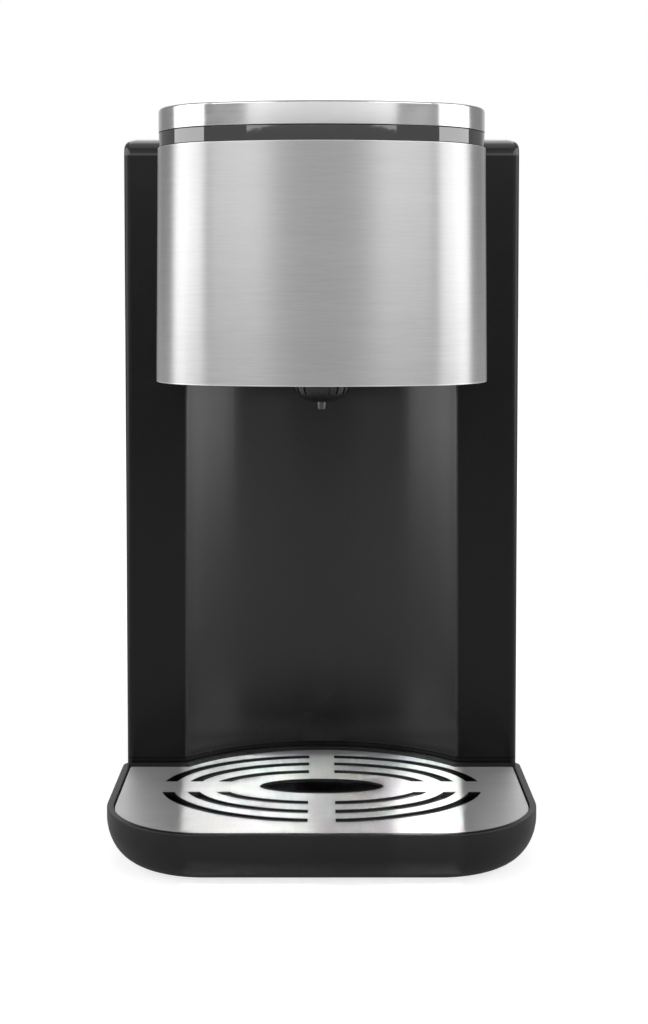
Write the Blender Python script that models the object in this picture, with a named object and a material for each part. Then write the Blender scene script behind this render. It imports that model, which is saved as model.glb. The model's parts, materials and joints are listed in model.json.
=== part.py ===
"""Countertop instant hot water dispenser, modelled piece by piece.

Metres, +Z up. The front faces -Y and the origin is on the table, under the middle of the object.
"""

import math

import bmesh
import bpy
from mathutils import Matrix, Vector

# Clearances and fineness shared by every piece
GAP = 0.0003
OVERRUN = 0.003
SMALLEST_RADIUS = 0.0002
CORNER_STEPS = 4
WIDE_STEPS = 7
EDGE_STEPS = 2
ROUND_STEPS = 20
SMALL_ROUND_STEPS = 8

# Overall plan, from the front of the tray to the back of the gland
TRAY_REACH = 0.0970
COLUMN_DEPTH = 0.1200
TANK_GAP = 0.0010
TANK_DEPTH = 0.0700
GLAND_PROUD = 0.0020
TRAY_WIDTH = 0.1729
COLUMN_WIDTH = 0.1707
COLUMN_FLARE = 0.0017
HEAD_WIDTH = 0.1356
TANK_WIDTH = 0.1640
HEAD_SETBACK = 0.0150
SPOUT_SETBACK = 0.0665

# Heights above the table
FOOT_HEIGHT = 0.0020
BASE_PLATE_THICKNESS = 0.0020
BASE_HOUSING_HEIGHT = 0.0184
COLUMN_HEIGHT = 0.2717
HEAD_CLEARANCE = 0.1904
BAND_HEIGHT = 0.0960
CARRIER_HEIGHT = 0.0060
CAP_HEIGHT = 0.0096

# Column shells
SHELL_WALL = 0.0025
WING_FILLET = 0.0030
COLUMN_TOP_CORNER = 0.0045
COLUMN_TOP_ROLL = 0.0080
FRONT_PANEL_DEPTH = 0.0160
RECESS_HALF_WIDTH = 0.0595
RECESS_DEPTH = 0.0263
RECESS_LIP = 0.0030

# Head
HEAD_CORNER = 0.0375
HEAD_SHOULDER = 0.0425
HEAD_TAIL = 0.0480
HEAD_TAIL_CORNER = 0.0160
BAND_THICKNESS = 0.0008
BAND_LIP = 0.0004
BAND_FLARE = 0.0005
HEAD_WALL = 0.0022
HEAD_FLOOR = 0.0025
HEAD_PASSAGE_WIDTH = 0.0800
HEAD_PASSAGE_SILL = 0.0100
CARRIER_INSET = 0.0016
CARRIER_WALL = 0.0024
CARRIER_FLOOR = 0.0020
WIRE_HOLE_WIDTH = 0.0240
WIRE_HOLE_DEPTH = 0.0080
WIRE_HOLE_FROM_TAIL = 0.0180
CAP_INSET = 0.0004
CAP_EDGE = 0.0012
CAP_WALL = 0.0022
CAP_TOP = 0.0034
CAP_BORDER = 0.0090
CAP_LEDGE = 0.0025
PANEL_RECESS = 0.0006
PANEL_THICKNESS = 0.0014

# Controls on the cap
BUTTON_TRAVEL = 0.0010
BUTTON_RISE = 0.0012
BUTTON_FLANGE = 0.0014
BUTTON_FLANGE_THICKNESS = 0.0012
BUTTON_EDGE = 0.0005
MAIN_BUTTON_RADIUS = 0.0110
SMALL_BUTTON_RADIUS = 0.0060
MAIN_BUTTON_FORWARD = 0.0090
SMALL_BUTTON_SIDE = 0.0360
SMALL_BUTTON_SPACING = 0.0200
DISPLAY_WIDTH = 0.0440
DISPLAY_DEPTH = 0.0160
DISPLAY_BACK = 0.0240
BOARD_THICKNESS = 0.0016
BOARD_WIDTH = 0.0960
BOARD_DEPTH = 0.0660
SWITCH_SIZE = 0.0060
BOARD_SCREW_GRIP = 0.0040
POST_RADIUS = 0.0026
POST_INSET = 0.0060

# Spout
DOME_RADIUS = 0.0128
DOME_DEPTH = 0.0094
DOME_RIB = 0.0005
DOME_RIB_COUNT = 10
POINTS_PER_RIB = 4
DOME_FLANGE = 0.0019
DOME_SHAPE_SHARES = ((0.90, 0.40), (0.70, 0.68), (0.51, 0.88), (0.26, 1.00))
DOME_RIB_END_SHARE = 0.60
DOME_NECK_RADIUS = 0.0087
NOZZLE_RADIUS = 0.0021
NOZZLE_BORE = 0.0013
NOZZLE_REACH = 0.0030
CHAMBER_RADIUS = 0.0150
CHAMBER_HEIGHT = 0.0280
CHAMBER_INLET_UP = 0.0190

# Tray and grille
TRAY_CORNER = 0.0407
TRAY_REAR_CORNER = 0.0040
TRAY_LIFT = 0.0010
TRAY_HEIGHT = 0.0202
TRAY_ROUND_ACROSS = 0.0135
TRAY_ROUND_UP = 0.0170
TRAY_ROUND_STEPS = 6
TRAY_RIM = 0.0027
TRAY_LEDGE = 0.0024
TRAY_FLOOR = 0.0022
TRAY_GAP = 0.0006
RIM_EDGE = 0.0003
GRILLE_SINK = 0.0012
GRILLE_THICKNESS = 0.0012
GRILLE_EDGE = 0.0003
SLOT_WIDTH = 0.0050
RING_HALF_WIDTHS = (0.0458, 0.0568, 0.0669)
RING_HALF_DEPTHS = (0.0241, 0.0355, 0.0464)
CENTRE_HOLE = (0.0259, 0.0106)
CROSS_BAR_WIDTH = 0.0110
CROSS_BAR_DEPTH = 0.0140
RING_SHIFT = 0.0015

# Base
TONGUE_WIDTH = 0.1000
TONGUE_SETBACK = 0.0200
TONGUE_CORNER = 0.0120
PLATE_INSET = 0.0010
FOOT_RADIUS = 0.0080
FOOT_STEM_RADIUS = 0.0020
FOOT_FROM_EDGE = 0.0160
BOSS_RADIUS = 0.0042
SCREW_RADIUS = 0.0015
SCREW_HEAD_RADIUS = 0.0030
SCREW_HEAD_THICKNESS = 0.0012
SCREW_SLOT = 0.0008
SCREW_SLOT_DEPTH = 0.0005
BASE_SCREW_FROM_EDGE = 0.0120
VENT_COUNT = 6
VENT_PITCH = 0.0080
VENT_WIDTH = 0.0030
VENT_LENGTH = 0.0450
CABLE_HOLE_RADIUS = 0.0070
GLAND_RADIUS = 0.0050
GLAND_FLANGE_RADIUS = 0.0068
GLAND_BORE = 0.0034
GLAND_INNER_LENGTH = 0.0080
GLAND_SIDE = 0.0500

# Water tank
TANK_WALL = 0.0022
TANK_FLOOR = 0.0025
TANK_CORNER = 0.0180
TANK_FRONT_CORNER = 0.0060
TANK_EDGE = 0.0030
LID_THICKNESS = 0.0050
LID_EDGE = 0.0010
LID_LIP_HEIGHT = 0.0030
LID_LIP_WALL = 0.0016
LID_LIP_CLEARANCE = 0.0006
HINGE_FROM_FRONT = 0.0070
HINGE_CLEARANCE = 0.0005
PIN_RADIUS = 0.0012
EAR_WIDTH = 0.0060
EAR_SIDE = 0.0460
NOTCH_WIDTH = 0.0300
NOTCH_HEIGHT = 0.0050

# Tank valve and its dock
DOCK_RADIUS = 0.0150
DOCK_WALL = 0.0018
DOCK_FLANGE_RADIUS = 0.0190
DOCK_FLANGE_THICKNESS = 0.0014
DOCK_DEPTH = 0.0120
DOCK_FLOOR = 0.0018
NECK_RADIUS = 0.0105
NECK_BORE = 0.0060
NECK_LENGTH = 0.0090
DOCK_PIN_RADIUS = 0.0015
STEM_RADIUS = 0.0018
POPPET_RADIUS = 0.0090
POPPET_THICKNESS = 0.0020
SEAL_THICKNESS = 0.0010
SEAL_WIDTH = 0.0022
SEAL_RING_HEIGHT = 0.0030
CAGE_RADIUS = 0.0140
CAGE_WALL = 0.0018
CAGE_HEIGHT = 0.0240
CAGE_ROOF = 0.0020
CAGE_WINDOW_WIDTH = 0.0120
CAGE_SILL = 0.0050
STEM_ABOVE_CAGE = 0.0040
VALVE_TRAVEL = 0.0030
SPRING_RADIUS = 0.0052
SPRING_WIRE = 0.0006
SPRING_TURNS = 5
SPRING_POINTS_PER_TURN = 8
SPRING_SIDES = 5

# Works inside the column
FRAME_THICKNESS = 0.0025
FRAME_SIDE_CLEARANCE = 0.0120
FRAME_HEIGHT = 0.1820
FRAME_FROM_BACK = 0.0435
FRAME_FOOT_DEPTH = 0.0140
FRAME_WINDOW_WIDTH = 0.0400
FRAME_WINDOW_HEIGHT = 0.0300
FRAME_SCREW_FROM_EDGE = 0.0100
HEATER_RADIUS = 0.0160
HEATER_LENGTH = 0.1200
HEATER_SIDE = 0.0320
HEATER_UP = 0.0650
HEATER_CLEARANCE = 0.0030
CLAMP_THICKNESS = 0.0018
CLAMP_HEIGHT = 0.0120
CLAMP_TAB_WIDTH = 0.0120
CLAMP_SPREAD = 0.0800
THERMOSTAT_RADIUS = 0.0080
THERMOSTAT_LENGTH = 0.0070
FUSE_RADIUS = 0.0024
FUSE_LENGTH = 0.0140
FUSE_ANGLE_DEG = -60.0
PUMP_RADIUS = 0.0160
PUMP_HEIGHT = 0.0420
PUMP_SIDE = -0.0420
PUMP_OUTLET_UP = 0.0100
PUMP_INLET_LENGTH = 0.0040
BRACKET_THICKNESS = 0.0020
BRACKET_SIZE = 0.0400
SPIGOT_RADIUS = 0.0024
SPIGOT_BORE = 0.0012
SPIGOT_LENGTH = 0.0100
HOSE_BORE = 0.0027
HOSE_RADIUS = 0.0045
HOSE_BEND = 0.0060
OUTLET_HOSE_RISE = 0.0150
HOSE_SIDES = 8
BEND_STEPS = 3
POWER_BOARD_WIDTH = 0.0800
POWER_BOARD_HEIGHT = 0.1000
POWER_BOARD_SIDE = -0.0200
POWER_BOARD_UP = 0.0450
STANDOFF = 0.0040
RELAY_SIZE = (0.0200, 0.0120, 0.0160)
CAPACITOR_RADIUS = 0.0070
CAPACITOR_HEIGHT = 0.0150
CONNECTOR_SIZE = (0.0160, 0.0100, 0.0100)
LOOM_RADIUS = 0.0020
LOOM_RISE = 0.0400
LOOM_DROP = 0.0300

# Places that follow from the sizes above
OVERALL_DEPTH = TRAY_REACH + COLUMN_DEPTH + TANK_GAP + TANK_DEPTH + GLAND_PROUD
FRONT_Y = -OVERALL_DEPTH / 2
COLUMN_FRONT_Y = FRONT_Y + TRAY_REACH
SEAM_Y = COLUMN_FRONT_Y + FRONT_PANEL_DEPTH
COLUMN_BACK_Y = COLUMN_FRONT_Y + COLUMN_DEPTH
TANK_FRONT_Y = COLUMN_BACK_Y + TANK_GAP
TANK_REAR_Y = TANK_FRONT_Y + TANK_DEPTH
TANK_MIDDLE_Y = (TANK_FRONT_Y + TANK_REAR_Y) / 2
HEAD_FRONT_Y = FRONT_Y + HEAD_SETBACK
HEAD_TAIL_Y = COLUMN_FRONT_Y + HEAD_TAIL
SPOUT_Y = FRONT_Y + SPOUT_SETBACK
COLUMN_HALF = COLUMN_WIDTH / 2
COLUMN_TOP_HALF = COLUMN_HALF + COLUMN_FLARE
HEAD_HALF = HEAD_WIDTH / 2
SLOT_HALF = HEAD_HALF + GAP
BASE_PLATE_TOP_Z = FOOT_HEIGHT + BASE_PLATE_THICKNESS
BASE_BOTTOM_Z = BASE_PLATE_TOP_Z + GAP
DECK_Z = BASE_BOTTOM_Z + BASE_HOUSING_HEIGHT
COLUMN_BOTTOM_Z = DECK_Z + GAP
COLUMN_TOP_Z = COLUMN_BOTTOM_Z + COLUMN_HEIGHT
HEAD_BOTTOM_Z = HEAD_CLEARANCE
BAND_TOP_Z = HEAD_BOTTOM_Z + BAND_HEIGHT
HEAD_FLOOR_Z = HEAD_BOTTOM_Z + GAP
HEAD_HOUSING_TOP_Z = BAND_TOP_Z - GAP
CARRIER_TOP_Z = BAND_TOP_Z + CARRIER_HEIGHT
CAP_BOTTOM_Z = CARRIER_TOP_Z + GAP
CAP_TOP_Z = CAP_BOTTOM_Z + CAP_HEIGHT
PANEL_TOP_Z = CAP_TOP_Z - PANEL_RECESS
PANEL_BOTTOM_Z = PANEL_TOP_Z - PANEL_THICKNESS
BUTTON_BOTTOM_Z = PANEL_BOTTOM_Z - GAP - BUTTON_FLANGE_THICKNESS
SWITCH_TOP_Z = BUTTON_BOTTOM_Z - BUTTON_TRAVEL - GAP
CARRIER_FLOOR_Z = BAND_TOP_Z + CARRIER_FLOOR
BOARD_BOTTOM_Z = (CARRIER_FLOOR_Z + SWITCH_TOP_Z) / 2
BOARD_TOP_Z = BOARD_BOTTOM_Z + BOARD_THICKNESS
CONTROLS_Y = (HEAD_FRONT_Y + HEAD_TAIL_Y) / 2
TRAY_BOTTOM_Z = TRAY_LIFT
TRAY_TOP_Z = TRAY_BOTTOM_Z + TRAY_HEIGHT
GRILLE_TOP_Z = TRAY_TOP_Z - GRILLE_SINK
GRILLE_BOTTOM_Z = GRILLE_TOP_Z - GRILLE_THICKNESS
TRAY_SEAT_Z = GRILLE_BOTTOM_Z - GAP
TRAY_UNDER_Z = BASE_PLATE_TOP_Z + GAP
TRAY_FLOOR_Z = TRAY_UNDER_Z + TRAY_FLOOR
TRAY_BACK_Y = COLUMN_FRONT_Y - TRAY_GAP
RECESS_RADIUS = (RECESS_HALF_WIDTH**2 + RECESS_DEPTH**2) / (2 * RECESS_DEPTH)
RECESS_Y = COLUMN_FRONT_Y + RECESS_DEPTH - RECESS_RADIUS
DOCK_TOP_Z = DECK_Z + GAP + DOCK_FLANGE_THICKNESS
DOCK_BOTTOM_Z = DECK_Z - DOCK_DEPTH
TANK_BOTTOM_Z = DOCK_TOP_Z + GAP
TANK_FLOOR_Z = TANK_BOTTOM_Z + TANK_FLOOR
LID_TOP_Z = COLUMN_TOP_Z
LID_BOTTOM_Z = LID_TOP_Z - LID_THICKNESS
HINGE_Z = (LID_TOP_Z + LID_BOTTOM_Z) / 2
HINGE_Y = TANK_FRONT_Y + HINGE_FROM_FRONT
KNUCKLE_RADIUS = LID_THICKNESS / 2
TANK_RIM_Z = LID_BOTTOM_Z - GAP
NECK_BOTTOM_Z = TANK_BOTTOM_Z - NECK_LENGTH
FRAME_Y = COLUMN_BACK_Y - FRAME_FROM_BACK
FRAME_HALF = COLUMN_HALF - SHELL_WALL - FRAME_SIDE_CLEARANCE
HEATER_Y = FRAME_Y + FRAME_THICKNESS + HEATER_CLEARANCE + HEATER_RADIUS
HEATER_BOTTOM_Z = COLUMN_BOTTOM_Z + HEATER_UP - SPIGOT_LENGTH
HEATER_TOP_Z = HEATER_BOTTOM_Z + HEATER_LENGTH
PUMP_BOTTOM_Z = COLUMN_BOTTOM_Z + BRACKET_THICKNESS + GAP
CHAMBER_BOTTOM_Z = HEAD_FLOOR_Z + HEAD_FLOOR + GAP
DOME_TOP_Z = HEAD_FLOOR_Z - GAP
DOME_BOTTOM_Z = DOME_TOP_Z - DOME_DEPTH


# Finishes: colour, roughness, metallic
BLACK_PLASTIC = ((0.013, 0.013, 0.014), 0.38, 0.0)
GLOSS_BLACK = ((0.008, 0.008, 0.009), 0.08, 0.0)
INNER_PLASTIC = ((0.030, 0.030, 0.032), 0.55, 0.0)
BRUSHED_STEEL = ((0.560, 0.560, 0.560), 0.32, 1.0)
POLISHED_STEEL = ((0.640, 0.640, 0.650), 0.14, 1.0)
ZINC_STEEL = ((0.450, 0.450, 0.440), 0.40, 1.0)
RUBBER = ((0.020, 0.020, 0.020), 0.80, 0.0)
SILICONE = ((0.560, 0.550, 0.520), 0.50, 0.0)
SMOKED_CLEAR = ((0.100, 0.105, 0.110), 0.10, 0.0)
WHITE_PLASTIC = ((0.600, 0.600, 0.580), 0.45, 0.0)
CIRCUIT_BOARD = ((0.020, 0.110, 0.050), 0.45, 0.0)
BUTTON_GREY = ((0.090, 0.090, 0.095), 0.35, 0.0)


# Outlines in plan, as lists of (x, y)
def arc(centre, radius, start, end, steps):
    """Points on a circle from one angle to another, in radians, both ends included."""
    turns = [start + (end - start) * i / steps for i in range(steps + 1)]
    return [(centre[0] + radius * math.cos(a), centre[1] + radius * math.sin(a)) for a in turns]


def circle(centre, radius, steps=ROUND_STEPS):
    """A closed round outline, anticlockwise."""
    return arc(centre, radius, 0, 2 * math.pi, steps)[:-1]


def rounded_box(left, right, front, back, front_radius, back_radius, steps=CORNER_STEPS):
    """A rectangle with one radius at its two front corners and one at its two back corners."""
    near = max(front_radius, SMALLEST_RADIUS)
    far = max(back_radius, SMALLEST_RADIUS)
    quarter = math.pi / 2
    return (
        arc((left + near, front + near), near, 2 * quarter, 3 * quarter, steps)
        + arc((right - near, front + near), near, 3 * quarter, 4 * quarter, steps)
        + arc((right - far, back - far), far, 0, quarter, steps)
        + arc((left + far, back - far), far, quarter, 2 * quarter, steps)
    )


def centred_box(centre, width, depth, radius=SMALLEST_RADIUS, steps=2):
    """A rounded rectangle about a point."""
    return rounded_box(
        centre[0] - width / 2,
        centre[0] + width / 2,
        centre[1] - depth / 2,
        centre[1] + depth / 2,
        radius,
        radius,
        steps,
    )


def tray_outline(inset, back_inset):
    """The D-shaped tray with its bulge that follows the recess. The sides and the back are inset apart."""
    half = TRAY_WIDTH / 2 - inset
    front = FRONT_Y + inset
    back = TRAY_BACK_Y - back_inset
    corner = TRAY_CORNER - inset
    rear = max(TRAY_REAR_CORNER - back_inset, SMALLEST_RADIUS)
    bulge = RECESS_RADIUS - TRAY_GAP - back_inset
    reach = math.sqrt(bulge**2 - (back - RECESS_Y) ** 2)
    start = math.atan2(back - RECESS_Y, reach)
    quarter = math.pi / 2
    return (
        arc((corner - half, front + corner), corner, 2 * quarter, 3 * quarter, WIDE_STEPS)
        + arc((half - corner, front + corner), corner, 3 * quarter, 4 * quarter, WIDE_STEPS)
        + arc((half - rear, back - rear), rear, 0, quarter, CORNER_STEPS)
        + arc((0, RECESS_Y), bulge, start, math.pi - start, 2 * WIDE_STEPS)
        + arc((rear - half, back - rear), rear, quarter, 2 * quarter, CORNER_STEPS)
    )


def head_front(inset):
    """The head's curved front from its left side to its right side, anticlockwise."""
    across = HEAD_HALF - HEAD_CORNER
    bow = (across**2 + HEAD_SHOULDER**2 - HEAD_CORNER**2) / (2 * (HEAD_SHOULDER - HEAD_CORNER))
    turn = math.atan2(HEAD_SHOULDER - bow, across)
    shoulder = HEAD_FRONT_Y + HEAD_SHOULDER
    corner = HEAD_CORNER - inset
    return (
        arc((-across, shoulder), corner, -math.pi, -math.pi - turn, WIDE_STEPS)[:-1]
        + arc((0, HEAD_FRONT_Y + bow), bow - inset, -math.pi - turn, turn, WIDE_STEPS)
        + arc((across, shoulder), corner, turn, 0, WIDE_STEPS)[1:]
    )


def head_outline(inset):
    """The whole head in plan, with the tail that plugs into the column."""
    half = HEAD_HALF - inset
    back = HEAD_TAIL_Y - inset
    tail = HEAD_TAIL_CORNER - inset
    return (
        head_front(inset)
        + arc((half - tail, back - tail), tail, 0, math.pi / 2, CORNER_STEPS)
        + arc((tail - half, back - tail), tail, math.pi / 2, math.pi, CORNER_STEPS)
    )


def recess_outline(offset):
    """Plan of what the cup recess takes away, with its rounded lips. A positive offset makes it larger."""
    face = COLUMN_FRONT_Y + offset
    lip = max(RECESS_LIP - offset, SMALLEST_RADIUS)
    radius = RECESS_RADIUS + offset
    across = math.sqrt((radius + lip) ** 2 - (face + lip - RECESS_Y) ** 2)
    lean = math.atan2(face + lip - RECESS_Y, across)
    before = min(face, COLUMN_FRONT_Y) - OVERRUN
    right = arc((across, face + lip), lip, -math.pi / 2, lean - math.pi, CORNER_STEPS)
    back = arc((0, RECESS_Y), radius, lean, math.pi - lean, 2 * WIDE_STEPS)
    left = [(-x, y) for x, y in reversed(right)]
    return [(-across, before), (across, before)] + right + back[1:-1] + left


def tank_outline(inset):
    """The water tank in plan."""
    return rounded_box(
        inset - TANK_WIDTH / 2,
        TANK_WIDTH / 2 - inset,
        TANK_FRONT_Y + inset,
        TANK_REAR_Y - inset,
        TANK_FRONT_CORNER - inset,
        TANK_CORNER - inset,
    )


def base_outline(inset):
    """The base housing in plan, before the recess is taken out."""
    return rounded_box(
        inset - COLUMN_HALF,
        COLUMN_HALF - inset,
        COLUMN_FRONT_Y + inset,
        TANK_REAR_Y - inset,
        WING_FILLET - inset,
        TANK_CORNER - inset,
    )


# Solids
def object_from(name, bm):
    """Turns a finished bmesh into an object with its faces pointing out."""
    bmesh.ops.recalc_face_normals(bm, faces=bm.faces)
    mesh = bpy.data.meshes.new(name)
    bm.to_mesh(mesh)
    bm.free()
    made = bpy.data.objects.new(name, mesh)
    bpy.context.scene.collection.objects.link(made)
    return made


def loft(name, rings, ring_shaped=False):
    """Skins rings of equally many points. The ends are capped, or joined when the solid is ring shaped."""
    bm = bmesh.new()
    rows = [[bm.verts.new(point) for point in ring] for ring in rings]
    count = len(rows[0])
    pairs = list(zip(rows, rows[1:]))
    if ring_shaped:
        pairs.append((rows[-1], rows[0]))
    for lower, upper in pairs:
        for i in range(count):
            j = (i + 1) % count
            bm.faces.new((lower[i], lower[j], upper[j], upper[i]))
    if not ring_shaped:
        bm.faces.new(rows[0])
        bm.faces.new(rows[-1])
    return object_from(name, bm)


def level(outline, height):
    """An outline in plan, put at a height."""
    return [(x, y, height) for x, y in outline]


def prism(name, outline, low, high):
    """An outline in plan, raised between two heights."""
    return loft(name, [level(outline, low), level(outline, high)])


def edged_prism(name, outline_at, low, high, top_edge, bottom_edge=0):
    """A prism of outline_at(inset) whose top edge, and bottom edge if asked for, is rounded."""
    rings = []
    for i in range(EDGE_STEPS if bottom_edge else 0):
        turn = math.pi / 2 * (1 - i / EDGE_STEPS)
        inset = bottom_edge * (1 - math.cos(turn))
        rings.append(level(outline_at(inset), low + bottom_edge * (1 - math.sin(turn))))
    rings.append(level(outline_at(0), low + bottom_edge))
    rings.append(level(outline_at(0), high - top_edge))
    for i in range(1, EDGE_STEPS + 1):
        turn = math.pi / 2 * i / EDGE_STEPS
        inset = top_edge * (1 - math.cos(turn))
        rings.append(level(outline_at(inset), high - top_edge * (1 - math.sin(turn))))
    return loft(name, rings)


def side_prism(name, profile, half_width, centre_x=0):
    """A (y, z) outline, extruded along X."""
    ends = (centre_x - half_width, centre_x + half_width)
    return loft(name, [[(x, y, z) for y, z in profile] for x in ends])


def front_prism(name, profile, front, back):
    """A (x, z) outline, extruded along Y."""
    return loft(name, [[(x, y, z) for x, z in profile] for y in (front, back)])


def block(name, left, right, front, back, low, high):
    """A plain rectangular block, for cuts and brackets."""
    corners = [(left, front), (right, front), (right, back), (left, back)]
    return prism(name, corners, low, high)


def turned(name, centre, profile, steps=ROUND_STEPS, axis="Z"):
    """Spins an (r, h) profile about a line through centre. Points with no radius lie on the line."""
    bm = bmesh.new()
    points = [bm.verts.new((radius, 0, height)) for radius, height in profile]
    edges = [bm.edges.new(pair) for pair in zip(points, points[1:])]
    if profile[0][0] and profile[-1][0]:
        edges.append(bm.edges.new((points[-1], points[0])))
    bmesh.ops.spin(
        bm,
        geom=points + edges,
        cent=(0, 0, 0),
        axis=(0, 0, 1),
        angle=2 * math.pi,
        steps=steps,
        use_merge=True,
    )
    bmesh.ops.remove_doubles(bm, verts=bm.verts, dist=SMALLEST_RADIUS / 100)
    turn = {
        "Z": Matrix.Identity(4),
        "X": Matrix.Rotation(math.pi / 2, 4, "Y"),
        "Y": Matrix.Rotation(-math.pi / 2, 4, "X"),
    }[axis]
    bm.transform(Matrix.Translation(centre) @ turn)
    return object_from(name, bm)


def rod(name, start, radius, length, steps=SMALL_ROUND_STEPS, axis="Z"):
    """A plain round bar that starts at a point and runs along an axis."""
    return turned(name, start, [(0, 0), (radius, 0), (radius, length), (0, length)], steps, axis)


def bent_route(corners, bend):
    """A path of straight runs through the corners, each corner rounded to the bend's radius."""
    corners = [Vector(p) for p in corners]
    path = [corners[0]]
    for before, corner, after in zip(corners, corners[1:], corners[2:]):
        back = (before - corner).normalized()
        ahead = (after - corner).normalized()
        half = back.angle(ahead) / 2
        centre = corner + (back + ahead).normalized() * (bend / math.sin(half))
        start = (corner + back * (bend / math.tan(half)) - centre).normalized()
        end = (corner + ahead * (bend / math.tan(half)) - centre).normalized()
        for i in range(BEND_STEPS + 1):
            path.append(centre + start.slerp(end, i / BEND_STEPS) * bend)
    return path + [corners[-1]]


def rings_along(path, radius, sides):
    """Round rings square to a path, turned as little as possible from one to the next."""
    rings = []
    normal = None
    for i, point in enumerate(path):
        ahead = path[min(i + 1, len(path) - 1)] - path[max(i - 1, 0)]
        ahead.normalize()
        normal = ahead.orthogonal() if normal is None else normal - ahead * normal.dot(ahead)
        normal.normalize()
        side = ahead.cross(normal)
        turns = [2 * math.pi * k / sides for k in range(sides)]
        rings.append([point + (normal * math.cos(a) + side * math.sin(a)) * radius for a in turns])
    return rings


def hose(name, corners):
    """A hose with its bore open at both ends."""
    path = bent_route(corners, HOSE_BEND)
    outer = rings_along(path, HOSE_RADIUS, HOSE_SIDES)
    inner = rings_along(path, HOSE_BORE, HOSE_SIDES)
    return dress(loft(name, outer + inner[::-1], ring_shaped=True), SILICONE)


# Cuts and joins
def helper(tool):
    """Keeps a cutter out of the finished part."""
    tool.hide_render = True
    tool.display_type = "WIRE"
    return tool


def combine(target, tools, operation):
    """Adds one Boolean for each tool."""
    for tool in tools:
        step = target.modifiers.new(tool.name, "BOOLEAN")
        step.operation = operation
        step.solver = "EXACT"
        step.object = helper(tool)
    return target


def cut(target, *tools):
    """Takes the tools away from the target."""
    return combine(target, tools, "DIFFERENCE")


def fuse(target, *tools):
    """Joins the tools to the target as one body."""
    return combine(target, tools, "UNION")


def keep(target, *tools):
    """Keeps only what lies in the target and in each tool."""
    return combine(target, tools, "INTERSECT")


# Placing and finishing
def dress(piece, finish, smooth_deg=35):
    """Gives a piece its own material and smooth shading across shallow edges."""
    colour, roughness, metallic = finish
    material = bpy.data.materials.new(piece.name + "_finish")
    material.use_nodes = True
    shader = material.node_tree.nodes["Principled BSDF"]
    shader.inputs["Base Color"].default_value = (*colour, 1)
    shader.inputs["Roughness"].default_value = roughness
    shader.inputs["Metallic"].default_value = metallic
    piece.data.materials.append(material)
    piece.data.shade_smooth()
    piece.data.set_sharp_from_angle(angle=math.radians(smooth_deg))
    return piece


def carrier_empty(name, point, parent=None):
    """An empty on a joint's axis, for the pieces that move together."""
    empty = bpy.data.objects.new(name, None)
    bpy.context.scene.collection.objects.link(empty)
    empty.parent = parent
    empty.location = Vector(point) - (world_place(parent) if parent else Vector())
    return empty


def world_place(thing):
    """Where a thing stands, with its parents' places added. Nothing here is turned or scaled."""
    place = Vector()
    while thing:
        place += thing.location
        thing = thing.parent
    return place


def mount_on(piece, empty, origin=None):
    """Parents a piece to an empty, with its origin there or at a point of its own."""
    point = Vector(origin) if origin else world_place(empty)
    piece.data.transform(Matrix.Translation(-point))
    piece.parent = empty
    piece.location = point - world_place(empty)
    return piece


# Base
def screw_places():
    """The four base screws in plan: two in front of the column's works and two under the tank."""
    side = COLUMN_HALF - BASE_SCREW_FROM_EDGE
    front = SEAM_Y
    back = TANK_REAR_Y - TANK_CORNER - BASE_SCREW_FROM_EDGE
    return [(-side, front), (side, front), (-side, back), (side, back)]


def foot_places():
    """The four feet in plan: two under the tongue and two under the tank."""
    side = TONGUE_WIDTH / 2 - FOOT_FROM_EDGE
    front = FRONT_Y + TONGUE_SETBACK + FOOT_FROM_EDGE
    rear_side = COLUMN_HALF - FOOT_FROM_EDGE
    back = TANK_REAR_Y - FOOT_FROM_EDGE
    return [(-side, front), (side, front), (-rear_side, back), (rear_side, back)]


def screw(name, seat, length, direction=1):
    """A slotted screw whose head bears at seat. Direction is 1 when its shank points up."""
    head = -direction * SCREW_HEAD_THICKNESS
    profile = [
        (0, head),
        (SCREW_HEAD_RADIUS, head),
        (SCREW_HEAD_RADIUS, 0),
        (SCREW_RADIUS, 0),
        (SCREW_RADIUS, direction * length),
        (0, direction * (length + SCREW_RADIUS)),
    ]
    piece = turned(name, seat, profile, SMALL_ROUND_STEPS)
    reach = SCREW_HEAD_RADIUS + OVERRUN
    slot_ends = sorted((seat[2] + head + direction * SCREW_SLOT_DEPTH, seat[2] + head - direction * OVERRUN))
    slot = block(
        name + "_slot",
        seat[0] - reach,
        seat[0] + reach,
        seat[1] - SCREW_SLOT / 2,
        seat[1] + SCREW_SLOT / 2,
        *slot_ends,
    )
    return dress(cut(piece, slot), ZINC_STEEL)


def frame_screw_places():
    """The two screws that hold the inner frame down."""
    reach = FRAME_HALF - FRAME_SCREW_FROM_EDGE
    return [(side * reach, FRAME_Y - FRAME_FOOT_DEPTH / 2) for side in (-1, 1)]


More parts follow.
